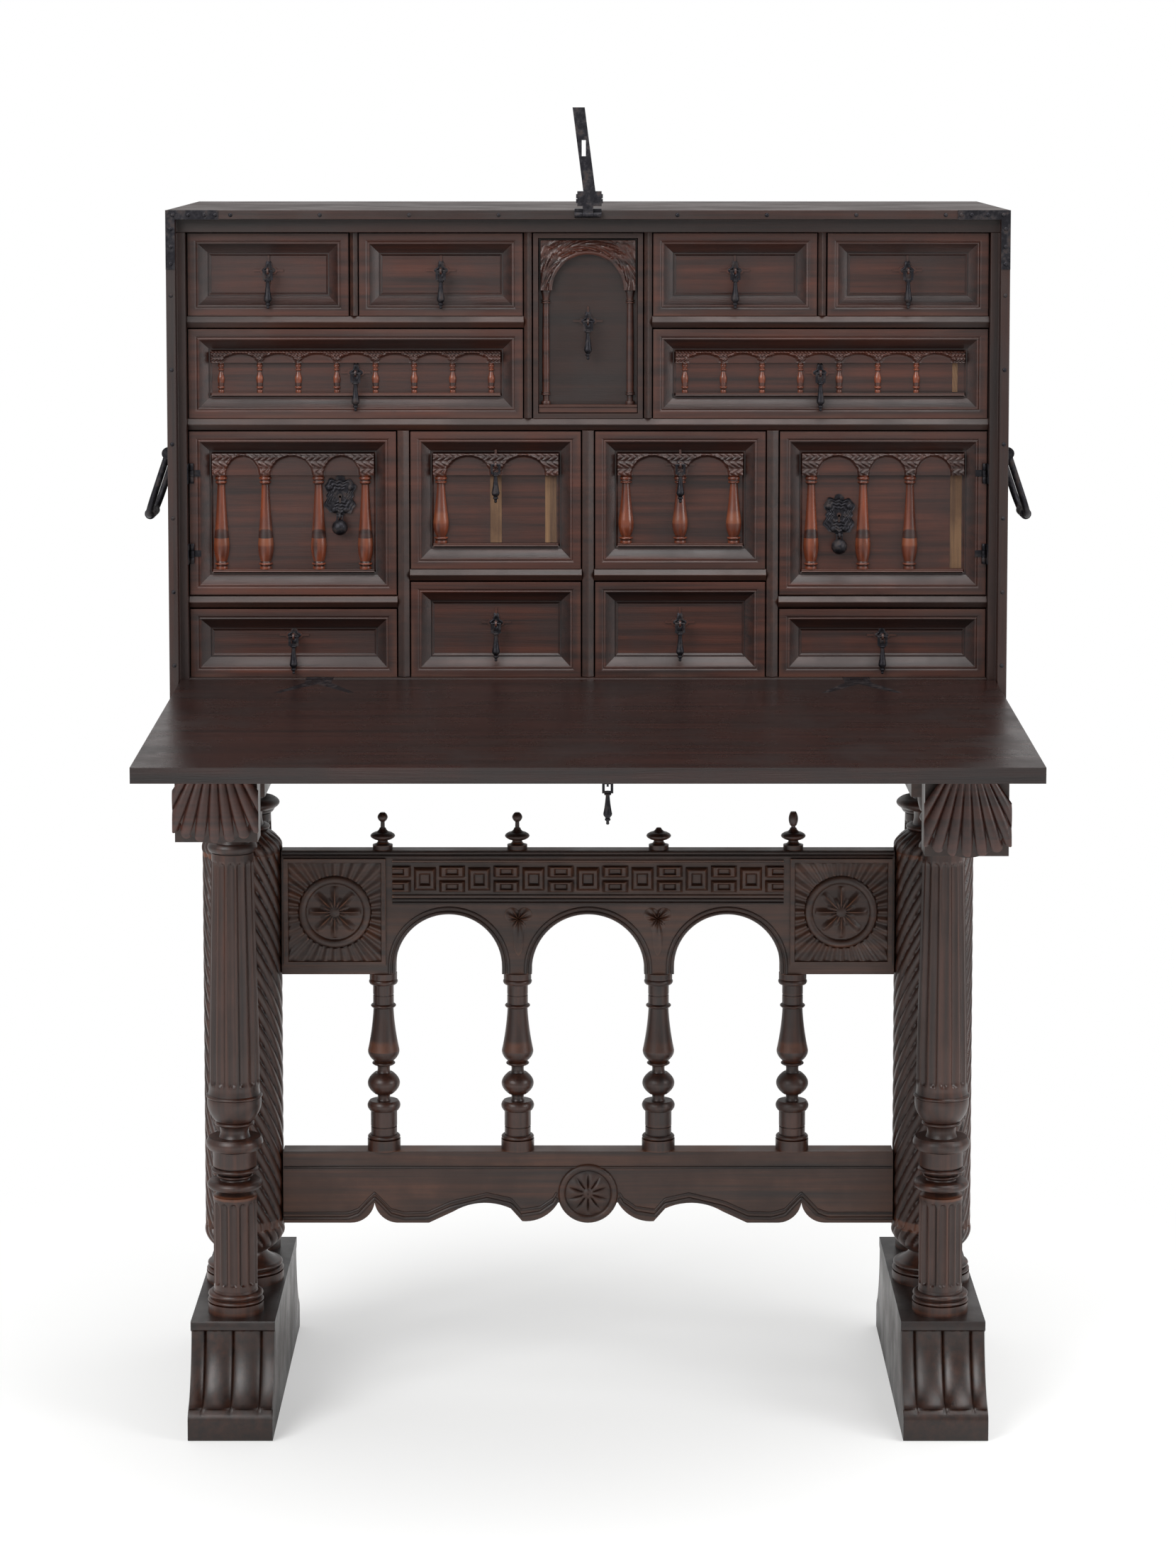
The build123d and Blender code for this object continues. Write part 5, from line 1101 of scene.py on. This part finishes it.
@dataclass
class Studio:
    """Floor, backdrop, lights and camera.

    The camera's tilt is worked out in rows of an image: its height, how far the horizon lies above
    its middle, and the focal length.
    """

    distance: float = 5000.0
    eye_height: float = 1681.0
    lens: float = 93.2
    sensor: float = 36.0
    shift: float = 0.20
    image_rows: int = 2212
    horizon_rows: int = 966
    focal_rows: int = 5724

    def build(self) -> None:
        """Sets up a bright, even room and the camera at the viewer's eye height."""
        scene = bpy.context.scene
        scene.view_settings.view_transform = "Standard"
        world = bpy.data.worlds.new("room")
        world.use_nodes = True
        sky = world.node_tree.nodes["Background"]
        sky.inputs[0].default_value = colour("#FFFFFF")
        seen = world.node_tree.nodes.new("ShaderNodeLightPath").outputs["Is Camera Ray"]
        power = world.node_tree.nodes.new("ShaderNodeMapRange")
        power.inputs[3].default_value, power.inputs[4].default_value = 0.6, 1.0
        world.node_tree.links.new(seen, power.inputs[0])
        world.node_tree.links.new(power.outputs[0], sky.inputs[1])
        scene.world = world
        tree = fresh("studio_floor")
        shader = tree.add("ShaderNodeBsdfPrincipled", Base_Color=colour("#F8F8F7"), Roughness=0.8)
        place = tree.add("ShaderNodeTexCoord").outputs["Object"]
        reach = tree.add("ShaderNodeVectorMath", {"operation": "LENGTH"}, i0=place).outputs["Value"]
        faded = tree.window(reach, 0.7, 1.5, (0.35, 1.0))
        seen = tree.add("ShaderNodeLightPath").outputs["Is Camera Ray"]
        share = tree.add("ShaderNodeMath", {"operation": "MULTIPLY"}, i0=faded, i1=seen).outputs[0]
        glow = tree.add("ShaderNodeEmission", Color=colour("#FFFFFF"), Strength=1.0)
        both = tree.add("ShaderNodeMixShader", i0=share, i1=shader.outputs[0], i2=glow.outputs[0])
        tree.add("ShaderNodeOutputMaterial", Surface=both.outputs[0])
        floor = Shape()
        far = 9000.0
        corners = np.array([[[x, y, -0.5] for y in (-far, far)] for x in (-far, far)])
        floor.lattice(corners, flip=True)
        mesh = bpy.data.meshes.new("floor")
        mesh.from_pydata((floor.verts[0] * MM).tolist(), [], floor.faces)
        mesh.materials.append(tree.look)
        ground = bpy.data.objects.new("floor", mesh)
        scene.collection.objects.link(ground)
        for name, place, size, power in (
            ("window", (-2.6, -3.2, 3.4), 2.6, 170.0), ("ceiling", (0.6, -0.6, 4.2), 3.0, 120.0),
            ("side", (3.6, -1.6, 2.2), 1.8, 60.0),
        ):
            self.lamp(name, place, size, power)
        lens = bpy.data.cameras.new("camera")
        lens.lens, lens.sensor_width = self.lens, self.sensor
        lens.shift_y = -self.shift
        camera = bpy.data.objects.new("camera", lens)
        camera.location = (0.0, (CASE_FRONT - self.distance) * MM, self.eye_height * MM)
        drop = math.atan((self.horizon_rows - self.shift * self.image_rows) / self.focal_rows)
        camera.rotation_euler = (math.pi / 2 - drop, 0.0, 0.0)
        scene.collection.objects.link(camera)
        scene.camera = camera

    @staticmethod
    def lamp(name: str, place: tuple[float, float, float], size: float, power: float) -> None:
        """Adds a square light that faces the middle of the cabinet."""
        light = bpy.data.lights.new(name, "AREA")
        light.size, light.energy = size, power
        lamp = bpy.data.objects.new(name, light)
        lamp.location = place
        aim = np.array([0.0, 0.1, 1.0]) - np.array(place)
        flat = math.hypot(aim[0], aim[1])
        lamp.rotation_euler = (math.atan2(flat, -aim[2]), 0.0, math.atan2(-aim[0], aim[1]))
        bpy.context.scene.collection.objects.link(lamp)


def main() -> None:
    """Builds the cabinet around the CAD frame."""
    logging.basicConfig(level=logging.INFO)
    bpy.ops.wm.read_factory_settings(use_empty=True)
    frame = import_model()
    looks = Looks.make()
    Case(looks, frame["nodes"]).build()
    Interior(looks).build()
    for side in Side:
        Trestle(side, looks).build()
    Rails(looks).build()
    Studio().build()


if __name__ == "__main__":
    main()
